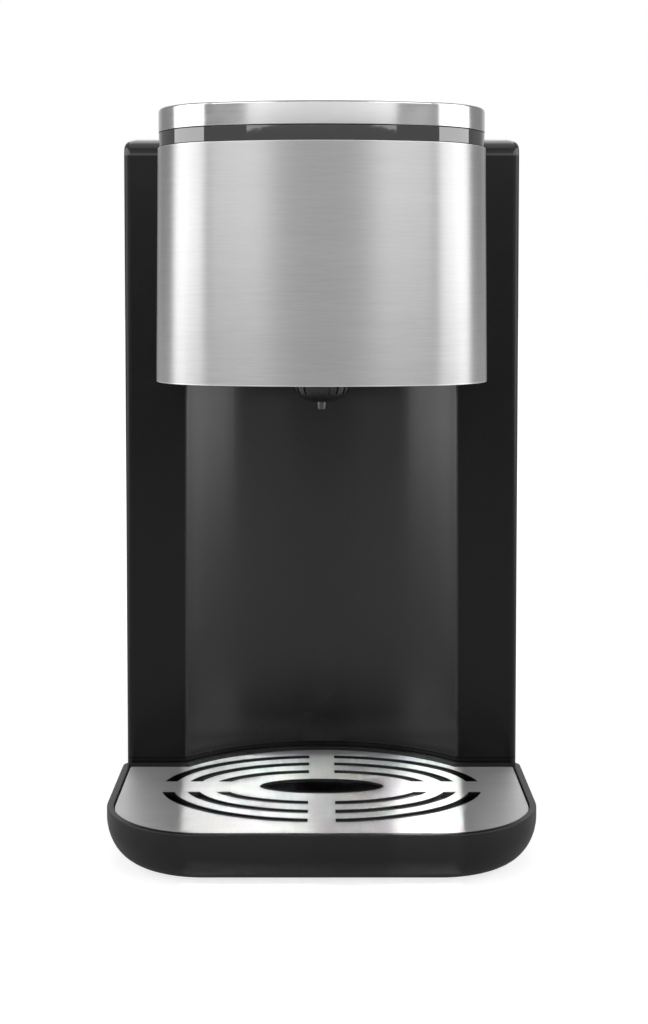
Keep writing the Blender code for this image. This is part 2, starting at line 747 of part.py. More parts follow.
def build_base():
    """The base housing, its plate with the tongue, four feet, four screws and the cord gland."""
    housing = prism("base_housing", base_outline(0), BASE_BOTTOM_Z, DECK_Z)
    hollow = prism("base_hollow", base_outline(SHELL_WALL), BASE_BOTTOM_Z - OVERRUN, DECK_Z - SHELL_WALL)
    spared = prism("base_recess_wall", recess_outline(SHELL_WALL), BASE_BOTTOM_Z - 2 * OVERRUN, COLUMN_TOP_Z)
    cut(housing, cut(hollow, spared))
    cut(housing, prism("base_recess", recess_outline(0), BASE_BOTTOM_Z - OVERRUN, DECK_Z + OVERRUN))
    for i, (x, y) in enumerate(screw_places()):
        boss = rod(f"base_boss_{i}", (x, y, BASE_BOTTOM_Z), BOSS_RADIUS, BASE_HOUSING_HEIGHT - SHELL_WALL / 2)
        fuse(housing, boss)
        pilot = rod(
            f"base_pilot_{i}",
            (x, y, BASE_BOTTOM_Z - OVERRUN),
            SCREW_RADIUS + GAP,
            BASE_HOUSING_HEIGHT - SHELL_WALL + OVERRUN,
        )
        cut(housing, pilot)
    dock_hole = rod(
        "dock_hole",
        (0, TANK_MIDDLE_Y, DECK_Z - SHELL_WALL - OVERRUN),
        DOCK_RADIUS + GAP,
        SHELL_WALL + 2 * OVERRUN,
        ROUND_STEPS,
    )
    pump_hole = rod(
        "pump_hole",
        (PUMP_SIDE, HEATER_Y, DECK_Z - SHELL_WALL - OVERRUN),
        CABLE_HOLE_RADIUS,
        SHELL_WALL + 2 * OVERRUN,
        ROUND_STEPS,
    )
    cable_hole = rod(
        "cable_hole",
        (GLAND_SIDE, HEATER_Y, DECK_Z - SHELL_WALL - OVERRUN),
        CABLE_HOLE_RADIUS,
        SHELL_WALL + 2 * OVERRUN,
        ROUND_STEPS,
    )
    gland_z = (BASE_BOTTOM_Z + DECK_Z - SHELL_WALL) / 2
    gland_hole = rod(
        "gland_hole",
        (GLAND_SIDE, TANK_REAR_Y - SHELL_WALL - OVERRUN, gland_z),
        GLAND_RADIUS + GAP,
        SHELL_WALL + 2 * OVERRUN,
        ROUND_STEPS,
        "Y",
    )
    cut(housing, dock_hole, pump_hole, cable_hole, gland_hole)
    for i, (x, y) in enumerate(frame_screw_places()):
        pilot = rod(
            f"frame_pilot_{i}", (x, y, DECK_Z - SHELL_WALL - OVERRUN), SCREW_RADIUS + GAP, SHELL_WALL + 2 * OVERRUN
        )
        cut(housing, pilot)
    dress(housing, BLACK_PLASTIC)

    plate = prism("base_plate", base_outline(PLATE_INSET), FOOT_HEIGHT, BASE_PLATE_TOP_Z)
    tongue_outline = rounded_box(
        -TONGUE_WIDTH / 2,
        TONGUE_WIDTH / 2,
        FRONT_Y + TONGUE_SETBACK,
        SEAM_Y + SHELL_WALL,
        TONGUE_CORNER,
        0,
    )
    fuse(plate, prism("tongue", tongue_outline, FOOT_HEIGHT, BASE_PLATE_TOP_Z))
    below = FOOT_HEIGHT - OVERRUN
    through = BASE_PLATE_THICKNESS + 2 * OVERRUN
    for i, (x, y) in enumerate(screw_places()):
        cut(plate, rod(f"plate_screw_hole_{i}", (x, y, below), SCREW_RADIUS + GAP, through))
    for i, (x, y) in enumerate(foot_places()):
        cut(plate, rod(f"plate_foot_hole_{i}", (x, y, below), FOOT_STEM_RADIUS + GAP, through))
    for i in range(VENT_COUNT):
        y = HEATER_Y + (i - (VENT_COUNT - 1) / 2) * VENT_PITCH
        vent = block(
            f"vent_{i}",
            -VENT_LENGTH / 2,
            VENT_LENGTH / 2,
            y - VENT_WIDTH / 2,
            y + VENT_WIDTH / 2,
            below,
            below + through,
        )
        cut(plate, vent)
    dress(plate, INNER_PLASTIC)

    names = ("foot_front_left", "foot_front_right", "foot_rear_left", "foot_rear_right")
    for name, (x, y) in zip(names, foot_places()):
        pad = FOOT_HEIGHT - GAP
        profile = [
            (0, 0),
            (FOOT_RADIUS - SMALLEST_RADIUS, 0),
            (FOOT_RADIUS, SMALLEST_RADIUS),
            (FOOT_RADIUS, pad),
            (FOOT_STEM_RADIUS, pad),
            (FOOT_STEM_RADIUS, BASE_PLATE_TOP_Z - GAP),
            (0, BASE_PLATE_TOP_Z - GAP),
        ]
        dress(turned(name, (x, y, 0), profile), RUBBER)

    names = ("base_screw_front_left", "base_screw_front_right", "base_screw_rear_left", "base_screw_rear_right")
    for name, (x, y) in zip(names, screw_places()):
        screw(name, (x, y, FOOT_HEIGHT - GAP), BASE_HOUSING_HEIGHT / 2)

    inside = TANK_REAR_Y - SHELL_WALL - GAP
    profile = [
        (GLAND_BORE, -GLAND_INNER_LENGTH),
        (GLAND_RADIUS + GLAND_BORE / 4, -GLAND_INNER_LENGTH),
        (GLAND_RADIUS + GLAND_BORE / 4, 0),
        (GLAND_RADIUS, 0),
        (GLAND_RADIUS, TANK_REAR_Y + GAP - inside),
        (GLAND_FLANGE_RADIUS, TANK_REAR_Y + GAP - inside),
        (GLAND_FLANGE_RADIUS, TANK_REAR_Y + GLAND_PROUD - inside),
        (GLAND_BORE, TANK_REAR_Y + GLAND_PROUD - inside),
    ]
    dress(turned("cord_gland", (GLAND_SIDE, inside, gland_z), profile, axis="Y"), RUBBER)


# Column
def column_half(height):
    """Half the column's width at a height: it widens a little towards its top."""
    return COLUMN_HALF + COLUMN_FLARE * (height - COLUMN_BOTTOM_Z) / COLUMN_HEIGHT


def column_block(name, front, back, radii, low, high, inset=0):
    """A stretch of the column between two heights, whose sides follow its flare."""
    rings = []
    for height in (low, high):
        half = column_half(height) - inset
        rings.append(level(rounded_box(-half, half, front, back, *radii), height))
    return loft(name, rings)


def column_profiles(name, inset):
    """The column's outline from the front and from the side, as two cutters that round its top."""
    low = COLUMN_BOTTOM_Z - 2 * OVERRUN
    high = COLUMN_TOP_Z - inset
    corner = max(COLUMN_TOP_CORNER - inset, SMALLEST_RADIUS)
    roll = max(COLUMN_TOP_ROLL - inset, SMALLEST_RADIUS)
    half = COLUMN_TOP_HALF - inset
    from_front = rounded_box(-half, half, low, high, 0, corner)
    front = COLUMN_FRONT_Y + inset
    back = COLUMN_BACK_Y - inset
    quarter = math.pi / 2
    from_side = (
        [(front, low), (back, low)]
        + arc((back - LID_EDGE, high - LID_EDGE), LID_EDGE, 0, quarter, 2)
        + arc((front + roll, high - roll), roll, quarter, 2 * quarter, CORNER_STEPS)
    )
    return (
        front_prism(name + "_front_view", from_front, COLUMN_FRONT_Y - OVERRUN, COLUMN_BACK_Y + OVERRUN),
        side_prism(name + "_side_view", from_side, COLUMN_TOP_HALF + OVERRUN),
    )


def head_slot(name, wall, overrun):
    """The space between the wings that takes the head. A wall makes it larger all round."""
    half = SLOT_HALF + wall
    front = COLUMN_FRONT_Y - overrun
    back = SEAM_Y + overrun
    return block(name, -half, half, front, back, HEAD_BOTTOM_Z - wall, COLUMN_TOP_Z + overrun)


def build_column():
    """The front panel with its wings and recess, and the rear housing."""
    panel = column_block(
        "front_panel", COLUMN_FRONT_Y, SEAM_Y, (WING_FILLET, 0), COLUMN_BOTTOM_Z, COLUMN_TOP_Z
    )
    keep(panel, *column_profiles("panel", 0))
    bulge = prism("recess_bulge", recess_outline(SHELL_WALL), COLUMN_BOTTOM_Z, HEAD_BOTTOM_Z - GAP)
    before_seam = block(
        "bulge_front",
        -COLUMN_HALF,
        COLUMN_HALF,
        COLUMN_FRONT_Y - 2 * OVERRUN,
        SEAM_Y - SHELL_WALL,
        BASE_BOTTOM_Z,
        COLUMN_TOP_Z,
    )
    fuse(panel, cut(bulge, before_seam))
    hollow = column_block(
        "panel_hollow",
        COLUMN_FRONT_Y + SHELL_WALL,
        SEAM_Y + OVERRUN,
        (WING_FILLET - SHELL_WALL, 0),
        COLUMN_BOTTOM_Z - OVERRUN,
        COLUMN_TOP_Z - SHELL_WALL / 2,
        SHELL_WALL,
    )
    keep(hollow, *column_profiles("hollow", SHELL_WALL))
    recess_wall = prism(
        "recess_wall", recess_outline(SHELL_WALL), COLUMN_BOTTOM_Z - 2 * OVERRUN, HEAD_BOTTOM_Z + OVERRUN
    )
    cut(hollow, head_slot("slot_wall", SHELL_WALL, 2 * OVERRUN), recess_wall)
    cut(panel, hollow, head_slot("slot", 0, OVERRUN))
    cut(panel, prism("recess", recess_outline(0), COLUMN_BOTTOM_Z - OVERRUN, HEAD_BOTTOM_Z + OVERRUN))
    dress(panel, BLACK_PLASTIC)

    back_start = SEAM_Y + GAP
    shell = column_block(
        "rear_housing", back_start, COLUMN_BACK_Y, (0, WING_FILLET), COLUMN_BOTTOM_Z, COLUMN_TOP_Z
    )
    keep(shell, *column_profiles("shell", 0))
    hollow = column_block(
        "shell_hollow",
        back_start - OVERRUN,
        COLUMN_BACK_Y - SHELL_WALL,
        (0, WING_FILLET - SHELL_WALL),
        COLUMN_BOTTOM_Z - OVERRUN,
        COLUMN_TOP_Z - SHELL_WALL / 2,
        SHELL_WALL,
    )
    keep(hollow, *column_profiles("shell_inner", SHELL_WALL))
    pocket = prism("head_pocket", head_outline(-2 * GAP), COLUMN_TOP_Z - 2 * SHELL_WALL, COLUMN_TOP_Z + OVERRUN)
    dress(cut(shell, hollow, pocket), BLACK_PLASTIC)


# Head
def build_head():
    """The steel band, the inner housing, the dark carrier ring and the metal cap."""
    back = COLUMN_FRONT_Y - GAP

    def sleeve(inset, lip):
        """The band's section in plan, thinned equally on both faces at its rounded lips."""
        outer = head_front(inset + lip)
        inner = head_front(inset + BAND_THICKNESS - lip)[::-1]
        return outer + [(outer[-1][0], back), (inner[0][0], back)] + inner + [(inner[-1][0], back), (outer[0][0], back)]

    thin = BAND_THICKNESS / 4
    rings = []
    for height, lip in (
        (HEAD_BOTTOM_Z, thin),
        (HEAD_BOTTOM_Z + BAND_LIP, 0),
        (BAND_TOP_Z - BAND_LIP, 0),
        (BAND_TOP_Z, thin),
    ):
        grown = BAND_FLARE * (BAND_TOP_Z - height) / BAND_HEIGHT
        rings.append(level(sleeve(-grown, lip), height))
    dress(loft("head_band", rings), BRUSHED_STEEL)

    inset = BAND_THICKNESS + GAP
    housing = prism("head_housing", head_outline(inset), HEAD_FLOOR_Z, HEAD_HOUSING_TOP_Z)
    hollow = prism(
        "head_hollow",
        head_outline(inset + HEAD_WALL),
        HEAD_FLOOR_Z + HEAD_FLOOR,
        HEAD_HOUSING_TOP_Z + OVERRUN,
    )
    spout_hole = rod(
        "spout_hole",
        (0, SPOUT_Y, HEAD_FLOOR_Z - OVERRUN),
        DOME_NECK_RADIUS + GAP,
        HEAD_FLOOR + 2 * OVERRUN,
        ROUND_STEPS,
    )
    passage = block(
        "head_passage",
        -HEAD_PASSAGE_WIDTH / 2,
        HEAD_PASSAGE_WIDTH / 2,
        HEAD_TAIL_Y - inset - HEAD_WALL - OVERRUN,
        HEAD_TAIL_Y + OVERRUN,
        HEAD_FLOOR_Z + HEAD_FLOOR + HEAD_PASSAGE_SILL,
        HEAD_HOUSING_TOP_Z + OVERRUN,
    )
    dress(cut(housing, hollow, spout_hole, passage), INNER_PLASTIC)

    ring = prism("cap_carrier", head_outline(CARRIER_INSET), BAND_TOP_Z, CARRIER_TOP_Z)
    well = prism(
        "carrier_well", head_outline(CARRIER_INSET + CARRIER_WALL), CARRIER_FLOOR_Z, CARRIER_TOP_Z + OVERRUN
    )
    cut(ring, well)
    pilots = []
    for i, (x, y) in enumerate(post_places()):
        post = rod(
            f"board_post_{i}",
            (x, y, CARRIER_FLOOR_Z - CARRIER_FLOOR / 2),
            POST_RADIUS,
            BOARD_BOTTOM_Z - GAP - CARRIER_FLOOR_Z + CARRIER_FLOOR / 2,
        )
        fuse(ring, post)
        depth = BOARD_BOTTOM_Z - BAND_TOP_Z + OVERRUN
        pilots.append(rod(f"post_pilot_{i}", (x, y, BAND_TOP_Z - OVERRUN), SCREW_RADIUS + GAP, depth))
    wire_hole = block(
        "wire_hole",
        -WIRE_HOLE_WIDTH / 2,
        WIRE_HOLE_WIDTH / 2,
        HEAD_TAIL_Y - WIRE_HOLE_FROM_TAIL,
        HEAD_TAIL_Y - WIRE_HOLE_FROM_TAIL + WIRE_HOLE_DEPTH,
        BAND_TOP_Z - OVERRUN,
        CARRIER_FLOOR_Z + OVERRUN,
    )
    dress(cut(ring, wire_hole, *pilots), GLOSS_BLACK)

    def cap_outline(edge):
        """The cap in plan."""
        return head_outline(CAP_INSET + edge)

    cap = edged_prism("control_cap", cap_outline, CAP_BOTTOM_Z, CAP_TOP_Z, CAP_EDGE)
    under = prism("cap_under", cap_outline(CAP_WALL), CAP_BOTTOM_Z - OVERRUN, CAP_TOP_Z - CAP_TOP)
    seat = prism(
        "panel_seat", head_outline(CAP_BORDER), PANEL_BOTTOM_Z - GAP, CAP_TOP_Z + OVERRUN
    )
    window = prism(
        "panel_window", head_outline(CAP_BORDER + CAP_LEDGE), CAP_BOTTOM_Z - OVERRUN, CAP_TOP_Z + OVERRUN
    )
    dress(cut(cap, under, seat, window), POLISHED_STEEL)


def post_places():
    """The four posts that carry the control board, in plan."""
    side = BOARD_WIDTH / 2 - POST_INSET
    deep = BOARD_DEPTH / 2 - POST_INSET
    return [(x, CONTROLS_Y + y) for x in (-side, side) for y in (-deep, deep)]


def button_places():
    """Name, centre in plan and radius of each button."""
    y = CONTROLS_Y - MAIN_BUTTON_FORWARD
    near = y - SMALL_BUTTON_SPACING / 2
    far = y + SMALL_BUTTON_SPACING / 2
    return [
        ("button_dispense", (0, y), MAIN_BUTTON_RADIUS),
        ("button_volume_down", (-SMALL_BUTTON_SIDE, near), SMALL_BUTTON_RADIUS),
        ("button_volume_up", (-SMALL_BUTTON_SIDE, far), SMALL_BUTTON_RADIUS),
        ("button_temperature_down", (SMALL_BUTTON_SIDE, near), SMALL_BUTTON_RADIUS),
        ("button_temperature_up", (SMALL_BUTTON_SIDE, far), SMALL_BUTTON_RADIUS),
    ]


def build_controls():
    """The dark panel in the cap, its display window, five push buttons and the board under them."""
    panel = prism("control_panel", head_outline(CAP_BORDER + GAP), PANEL_BOTTOM_Z, PANEL_TOP_Z)
    display = (0, CONTROLS_Y + DISPLAY_BACK)
    opening = centred_box(display, DISPLAY_WIDTH + 2 * GAP, DISPLAY_DEPTH + 2 * GAP)
    cut(panel, prism("display_opening", opening, PANEL_BOTTOM_Z - OVERRUN, PANEL_TOP_Z + OVERRUN))
    window = prism(
        "display_window", centred_box(display, DISPLAY_WIDTH, DISPLAY_DEPTH), PANEL_BOTTOM_Z, PANEL_TOP_Z
    )
    dress(window, GLOSS_BLACK)

    board = prism("control_board", centred_box((0, CONTROLS_Y), BOARD_WIDTH, BOARD_DEPTH), BOARD_BOTTOM_Z, BOARD_TOP_Z)
    module = prism(
        "display_module",
        centred_box(display, DISPLAY_WIDTH - POST_RADIUS, DISPLAY_DEPTH - POST_RADIUS),
        BOARD_BOTTOM_Z + BOARD_THICKNESS / 2,
        PANEL_BOTTOM_Z - GAP,
    )
    fuse(board, module)
    for name, (x, y), radius in button_places():
        hole = rod(
            name + "_hole",
            (x, y, PANEL_BOTTOM_Z - OVERRUN),
            radius + GAP,
            PANEL_THICKNESS + 2 * OVERRUN,
            ROUND_STEPS,
        )
        cut(panel, hole)
        top = PANEL_TOP_Z + BUTTON_RISE
        profile = [
            (0, BUTTON_BOTTOM_Z),
            (radius + BUTTON_FLANGE, BUTTON_BOTTOM_Z),
            (radius + BUTTON_FLANGE, BUTTON_BOTTOM_Z + BUTTON_FLANGE_THICKNESS),
            (radius, BUTTON_BOTTOM_Z + BUTTON_FLANGE_THICKNESS),
            (radius, top - BUTTON_EDGE),
            (radius - BUTTON_EDGE, top),
            (0, top),
        ]
        button = turned(name, (x, y, 0), profile)
        dress(button, BUTTON_GREY)
        mount_on(button, carrier_empty(name + "_axis", (x, y, top)))
        switch = prism(
            name + "_switch",
            centred_box((x, y), SWITCH_SIZE, SWITCH_SIZE),
            BOARD_BOTTOM_Z + BOARD_THICKNESS / 2,
            SWITCH_TOP_Z,
        )
        fuse(board, switch)
    left_near, left_far, right_near, right_far = post_places()
    for name, (x, y) in (("board_screw_left", left_near), ("board_screw_right", right_far)):
        below = BOARD_BOTTOM_Z - OVERRUN
        cut(board, rod(name + "_hole", (x, y, below), SCREW_RADIUS + GAP, BOARD_THICKNESS + 2 * OVERRUN))
        screw(name, (x, y, BOARD_TOP_Z + GAP), BOARD_THICKNESS + BOARD_SCREW_GRIP, -1)
    dress(panel, GLOSS_BLACK)
    dress(board, CIRCUIT_BOARD)


# Spout
def build_spout():
    """The ribbed dome, the nozzle tube and the steam chamber above them."""
    bore = NOZZLE_RADIUS + GAP
    steps = DOME_RIB_COUNT * POINTS_PER_RIB

    def ring(radius, height, rib):
        """One round of the dome, with every second pair of points drawn in between the ribs."""
        points = []
        for k in range(steps):
            reach = radius - (rib if k % POINTS_PER_RIB < POINTS_PER_RIB / 2 else 0)
            turn = 2 * math.pi * k / steps
            points.append((reach * math.cos(turn), SPOUT_Y + reach * math.sin(turn), height))
        return points

    rings = [
        ring(DOME_NECK_RADIUS, CHAMBER_BOTTOM_Z - GAP, 0),
        ring(DOME_NECK_RADIUS, DOME_TOP_Z, 0),
        ring(DOME_RADIUS, DOME_TOP_Z, 0),
        ring(DOME_RADIUS, DOME_TOP_Z - DOME_FLANGE, DOME_RIB),
    ]
    for radius_share, drop_share in DOME_SHAPE_SHARES:
        rib = DOME_RIB if radius_share > DOME_RIB_END_SHARE else 0
        rings.append(ring(DOME_RADIUS * radius_share, DOME_TOP_Z - DOME_DEPTH * drop_share, rib))
    rings.append(ring(bore, DOME_BOTTOM_Z, 0))
    rings.append(ring(bore, CHAMBER_BOTTOM_Z - GAP, 0))
    dress(loft("spout_dome", rings, ring_shaped=True), BLACK_PLASTIC)

    tip = DOME_BOTTOM_Z - NOZZLE_REACH
    profile = [
        (NOZZLE_BORE, tip),
        (NOZZLE_RADIUS, tip),
        (NOZZLE_RADIUS, CHAMBER_BOTTOM_Z - GAP),
        (NOZZLE_BORE, CHAMBER_BOTTOM_Z - GAP),
    ]
    dress(turned("spout_nozzle", (0, SPOUT_Y, 0), profile, SMALL_ROUND_STEPS), POLISHED_STEEL)

    chamber = rod(
        "steam_chamber", (0, SPOUT_Y, CHAMBER_BOTTOM_Z), CHAMBER_RADIUS, CHAMBER_HEIGHT, ROUND_STEPS
    )
    inlet_z = CHAMBER_BOTTOM_Z + CHAMBER_INLET_UP
    spigot = rod(
        "chamber_inlet",
        (0, SPOUT_Y + CHAMBER_RADIUS - SHELL_WALL, inlet_z),
        SPIGOT_RADIUS,
        SPIGOT_LENGTH + SHELL_WALL,
        axis="Y",
    )
    hollow = rod(
        "chamber_hollow",
        (0, SPOUT_Y, CHAMBER_BOTTOM_Z + SHELL_WALL),
        CHAMBER_RADIUS - SHELL_WALL,
        CHAMBER_HEIGHT - 2 * SHELL_WALL,
        ROUND_STEPS,
    )
    outlet = rod("chamber_outlet", (0, SPOUT_Y, CHAMBER_BOTTOM_Z - OVERRUN), NOZZLE_BORE, SHELL_WALL + 2 * OVERRUN)
    inlet_bore = rod("chamber_inlet_bore", (0, SPOUT_Y, inlet_z), SPIGOT_BORE, CHAMBER_RADIUS + SPIGOT_LENGTH + OVERRUN, axis="Y")
    fuse(chamber, spigot)
    dress(cut(chamber, hollow, outlet, inlet_bore), WHITE_PLASTIC)


# Tray and grille
def ellipse_slot(name, half_width, half_depth, side, fore):
    """A quarter of an oval slot, cut short by the cross bars. Side and fore are -1 or 1."""
    middle = SPOUT_Y - RING_SHIFT

    def quarter(inset):
        """Points of one oval between the two bars."""
        wide = half_width - inset
        deep = half_depth - inset
        start = math.asin(CROSS_BAR_DEPTH / 2 / deep)
        end = math.acos(CROSS_BAR_WIDTH / 2 / wide)
        turns = [start + (end - start) * i / WIDE_STEPS for i in range(WIDE_STEPS + 1)]
        return [(side * wide * math.cos(a), middle + fore * deep * math.sin(a)) for a in turns]

    outline = quarter(0) + quarter(SLOT_WIDTH)[::-1]
    return prism(name, outline, GRILLE_BOTTOM_Z - OVERRUN, GRILLE_TOP_Z + OVERRUN)


def build_tray():
    """The drip tray on the tongue, and the slotted steel plate that drops into its rim."""
    rings = []
    for step in range(TRAY_ROUND_STEPS + 1):
        turn = math.pi / 2 * (1 - step / TRAY_ROUND_STEPS)
        inset = TRAY_ROUND_ACROSS * (1 - math.cos(turn))
        height = TRAY_BOTTOM_Z + TRAY_ROUND_UP * (1 - math.sin(turn))
        rings.append(level(tray_outline(inset, 0), height))
    rings.append(level(tray_outline(0, 0), TRAY_TOP_Z - RIM_EDGE))
    rings.append(level(tray_outline(RIM_EDGE, RIM_EDGE), TRAY_TOP_Z))
    tray = loft("drip_tray", rings)
    basin_inset = TRAY_RIM + TRAY_LEDGE
    basin = prism("tray_basin", tray_outline(basin_inset, basin_inset), TRAY_FLOOR_Z, TRAY_TOP_Z + OVERRUN)
    seat = prism("tray_seat", tray_outline(TRAY_RIM, TRAY_RIM), TRAY_SEAT_Z, TRAY_TOP_Z + OVERRUN)
    pocket_outline = rounded_box(
        -TONGUE_WIDTH / 2 - TRAY_GAP,
        TONGUE_WIDTH / 2 + TRAY_GAP,
        FRONT_Y + TONGUE_SETBACK - TRAY_GAP,
        SEAM_Y,
        TONGUE_CORNER,
        0,
    )
    pocket = prism("tongue_pocket", pocket_outline, TRAY_BOTTOM_Z - OVERRUN, TRAY_UNDER_Z)
    bulge_pocket = block(
        "bulge_pocket",
        -COLUMN_HALF,
        COLUMN_HALF,
        COLUMN_FRONT_Y,
        COLUMN_FRONT_Y + RECESS_DEPTH + OVERRUN,
        TRAY_BOTTOM_Z - OVERRUN,
        TRAY_UNDER_Z,
    )
    dress(cut(tray, basin, seat, pocket, bulge_pocket), BLACK_PLASTIC)
    tray_lift = carrier_empty("tray_lift", (0, SPOUT_Y, TRAY_TOP_Z))
    mount_on(tray, tray_lift)

    inset = TRAY_RIM + GAP

    def plate_outline(edge):
        """The plate in plan."""
        return tray_outline(inset + edge, inset + edge)

    plate = edged_prism("drip_grille", plate_outline, GRILLE_BOTTOM_Z, GRILLE_TOP_Z, GRILLE_EDGE)
    for i, (wide, deep) in enumerate(zip(RING_HALF_WIDTHS, RING_HALF_DEPTHS)):
        for side in (-1, 1):
            for fore in (-1, 1):
                cut(plate, ellipse_slot(f"slot_{i}_{side}_{fore}", wide, deep, side, fore))
    turns = [2 * math.pi * i / ROUND_STEPS for i in range(ROUND_STEPS)]
    hole = [
        (CENTRE_HOLE[0] * math.cos(a), SPOUT_Y - RING_SHIFT / 3 + CENTRE_HOLE[1] * math.sin(a)) for a in turns
    ]
    cut(plate, prism("centre_hole", hole, GRILLE_BOTTOM_Z - OVERRUN, GRILLE_TOP_Z + OVERRUN))
    dress(plate, BRUSHED_STEEL)
    mount_on(plate, carrier_empty("grille_lift", (0, SPOUT_Y, GRILLE_TOP_Z), tray_lift))


# Water tank
def build_tank():
    """The rear water tank, its hinged lid and the hinge pin."""
    tank_lift = carrier_empty("tank_lift", (0, TANK_MIDDLE_Y, TANK_BOTTOM_Z))
    tank = edged_prism("water_tank", tank_outline, TANK_BOTTOM_Z, TANK_RIM_Z, LID_EDGE / 2, TANK_EDGE)
    rail_back = HINGE_Y - KNUCKLE_RADIUS - HINGE_CLEARANCE
    rail_low = TANK_RIM_Z - KNUCKLE_RADIUS
    rail = block(
        "hinge_rail",
        TANK_FRONT_CORNER - TANK_WIDTH / 2,
        TANK_WIDTH / 2 - TANK_FRONT_CORNER,
        TANK_FRONT_Y,
        rail_back,
        rail_low,
        LID_TOP_Z,
    )
    fuse(tank, rail)
    inner = prism("tank_inner", tank_outline(TANK_WALL), TANK_FLOOR_Z, rail_low)
    rim_outline = rounded_box(
        TANK_WALL - TANK_WIDTH / 2,
        TANK_WIDTH / 2 - TANK_WALL,
        rail_back - OVERRUN / 10,
        TANK_REAR_Y - TANK_WALL,
        0,
        TANK_CORNER - TANK_WALL,
    )
    mouth = prism("tank_mouth", rim_outline, rail_low - OVERRUN, LID_TOP_Z + OVERRUN)
    cut(tank, inner, mouth)
    for side in (-1, 1):
        ear_profile = [(rail_back - HINGE_CLEARANCE, rail_low), (HINGE_Y + KNUCKLE_RADIUS, rail_low)]
        ear_profile += arc((HINGE_Y, HINGE_Z), KNUCKLE_RADIUS, 0, math.pi / 2, CORNER_STEPS)
        ear_profile += [(rail_back - HINGE_CLEARANCE, LID_TOP_Z)]
        ear = side_prism(f"ear_{side}", ear_profile, EAR_WIDTH / 2, side * (EAR_SIDE + EAR_WIDTH / 2))
        fuse(tank, ear)
    hole_start = (-EAR_SIDE - EAR_WIDTH - OVERRUN, HINGE_Y, HINGE_Z)
    hole_length = 2 * (EAR_SIDE + EAR_WIDTH + OVERRUN)
    cut(tank, rod("ear_holes", hole_start, PIN_RADIUS + GAP, hole_length, axis="X"))
    notch = block(
        "finger_notch",
        -NOTCH_WIDTH / 2,
        NOTCH_WIDTH / 2,
        TANK_REAR_Y - TANK_WALL - OVERRUN,
        TANK_REAR_Y + OVERRUN,
        TANK_RIM_Z - NOTCH_HEIGHT,
        TANK_RIM_Z + OVERRUN,
    )
    cut(tank, notch)
    neck = rod(
        "tank_neck",
        (0, TANK_MIDDLE_Y, NECK_BOTTOM_Z),
        NECK_RADIUS,
        NECK_LENGTH + TANK_FLOOR / 2,
        ROUND_STEPS,
    )
    bore = rod(
        "neck_bore", (0, TANK_MIDDLE_Y, NECK_BOTTOM_Z - OVERRUN), NECK_BORE, NECK_LENGTH + TANK_FLOOR + 2 * OVERRUN, ROUND_STEPS
    )
    dress(cut(fuse(tank, neck), bore), SMOKED_CLEAR)
    mount_on(tank, tank_lift)

    hinge = carrier_empty("lid_hinge", (0, HINGE_Y, HINGE_Z), tank_lift)

    def lid_outline(inset):
        """The lid in plan, from the hinge line back."""
        return rounded_box(
            inset - TANK_WIDTH / 2,
            TANK_WIDTH / 2 - inset,
            HINGE_Y,
            TANK_REAR_Y - inset,
            0,
            TANK_CORNER - inset,
        )

    lid = edged_prism("tank_lid", lid_outline, LID_BOTTOM_Z, LID_TOP_Z, LID_EDGE)
    half = TANK_WIDTH / 2
    knuckle = rod("lid_knuckle", (-half, HINGE_Y, HINGE_Z), KNUCKLE_RADIUS, 2 * half, 4 * CORNER_STEPS, axis="X")
    fuse(lid, knuckle)
    lip_inset = TANK_WALL + LID_LIP_CLEARANCE
    lip_front = HINGE_Y + KNUCKLE_RADIUS + HINGE_CLEARANCE

    def lip_outline(inset):
        """The lip under the lid, which plugs the tank's mouth."""
        return rounded_box(
            lip_inset + inset - half,
            half - lip_inset - inset,
            lip_front + inset,
            TANK_REAR_Y - lip_inset - inset,
            TANK_FRONT_CORNER - inset,
            TANK_CORNER - lip_inset - inset,
        )

    lip_low = LID_BOTTOM_Z - LID_LIP_HEIGHT
    lip_high = LID_BOTTOM_Z + LID_THICKNESS / 4
    lip = loft(
        "lid_lip",
        [
            level(lip_outline(0), lip_low),
            level(lip_outline(0), lip_high),
            level(lip_outline(LID_LIP_WALL), lip_high),
            level(lip_outline(LID_LIP_WALL), lip_low),
        ],
        ring_shaped=True,
    )
    fuse(lid, lip)
    for side in (-1, 1):
        middle = side * (EAR_SIDE + EAR_WIDTH / 2)
        reach = EAR_WIDTH / 2 + HINGE_CLEARANCE
        notch = block(
            f"lid_notch_{side}",
            middle - reach,
            middle + reach,
            HINGE_Y - KNUCKLE_RADIUS - OVERRUN,
            HINGE_Y + KNUCKLE_RADIUS + HINGE_CLEARANCE,
            LID_BOTTOM_Z - OVERRUN,
            LID_TOP_Z + OVERRUN,
        )
        cut(lid, notch)
    cut(lid, rod("lid_pin_hole", hole_start, PIN_RADIUS + GAP, hole_length, axis="X"))
    dress(lid, BLACK_PLASTIC)
    mount_on(lid, hinge)
    pin_start = (-EAR_SIDE - EAR_WIDTH, HINGE_Y, HINGE_Z)
    pin = rod("lid_pin", pin_start, PIN_RADIUS, 2 * (EAR_SIDE + EAR_WIDTH), axis="X")
    mount_on(dress(pin, ZINC_STEEL), hinge)
    return tank_lift


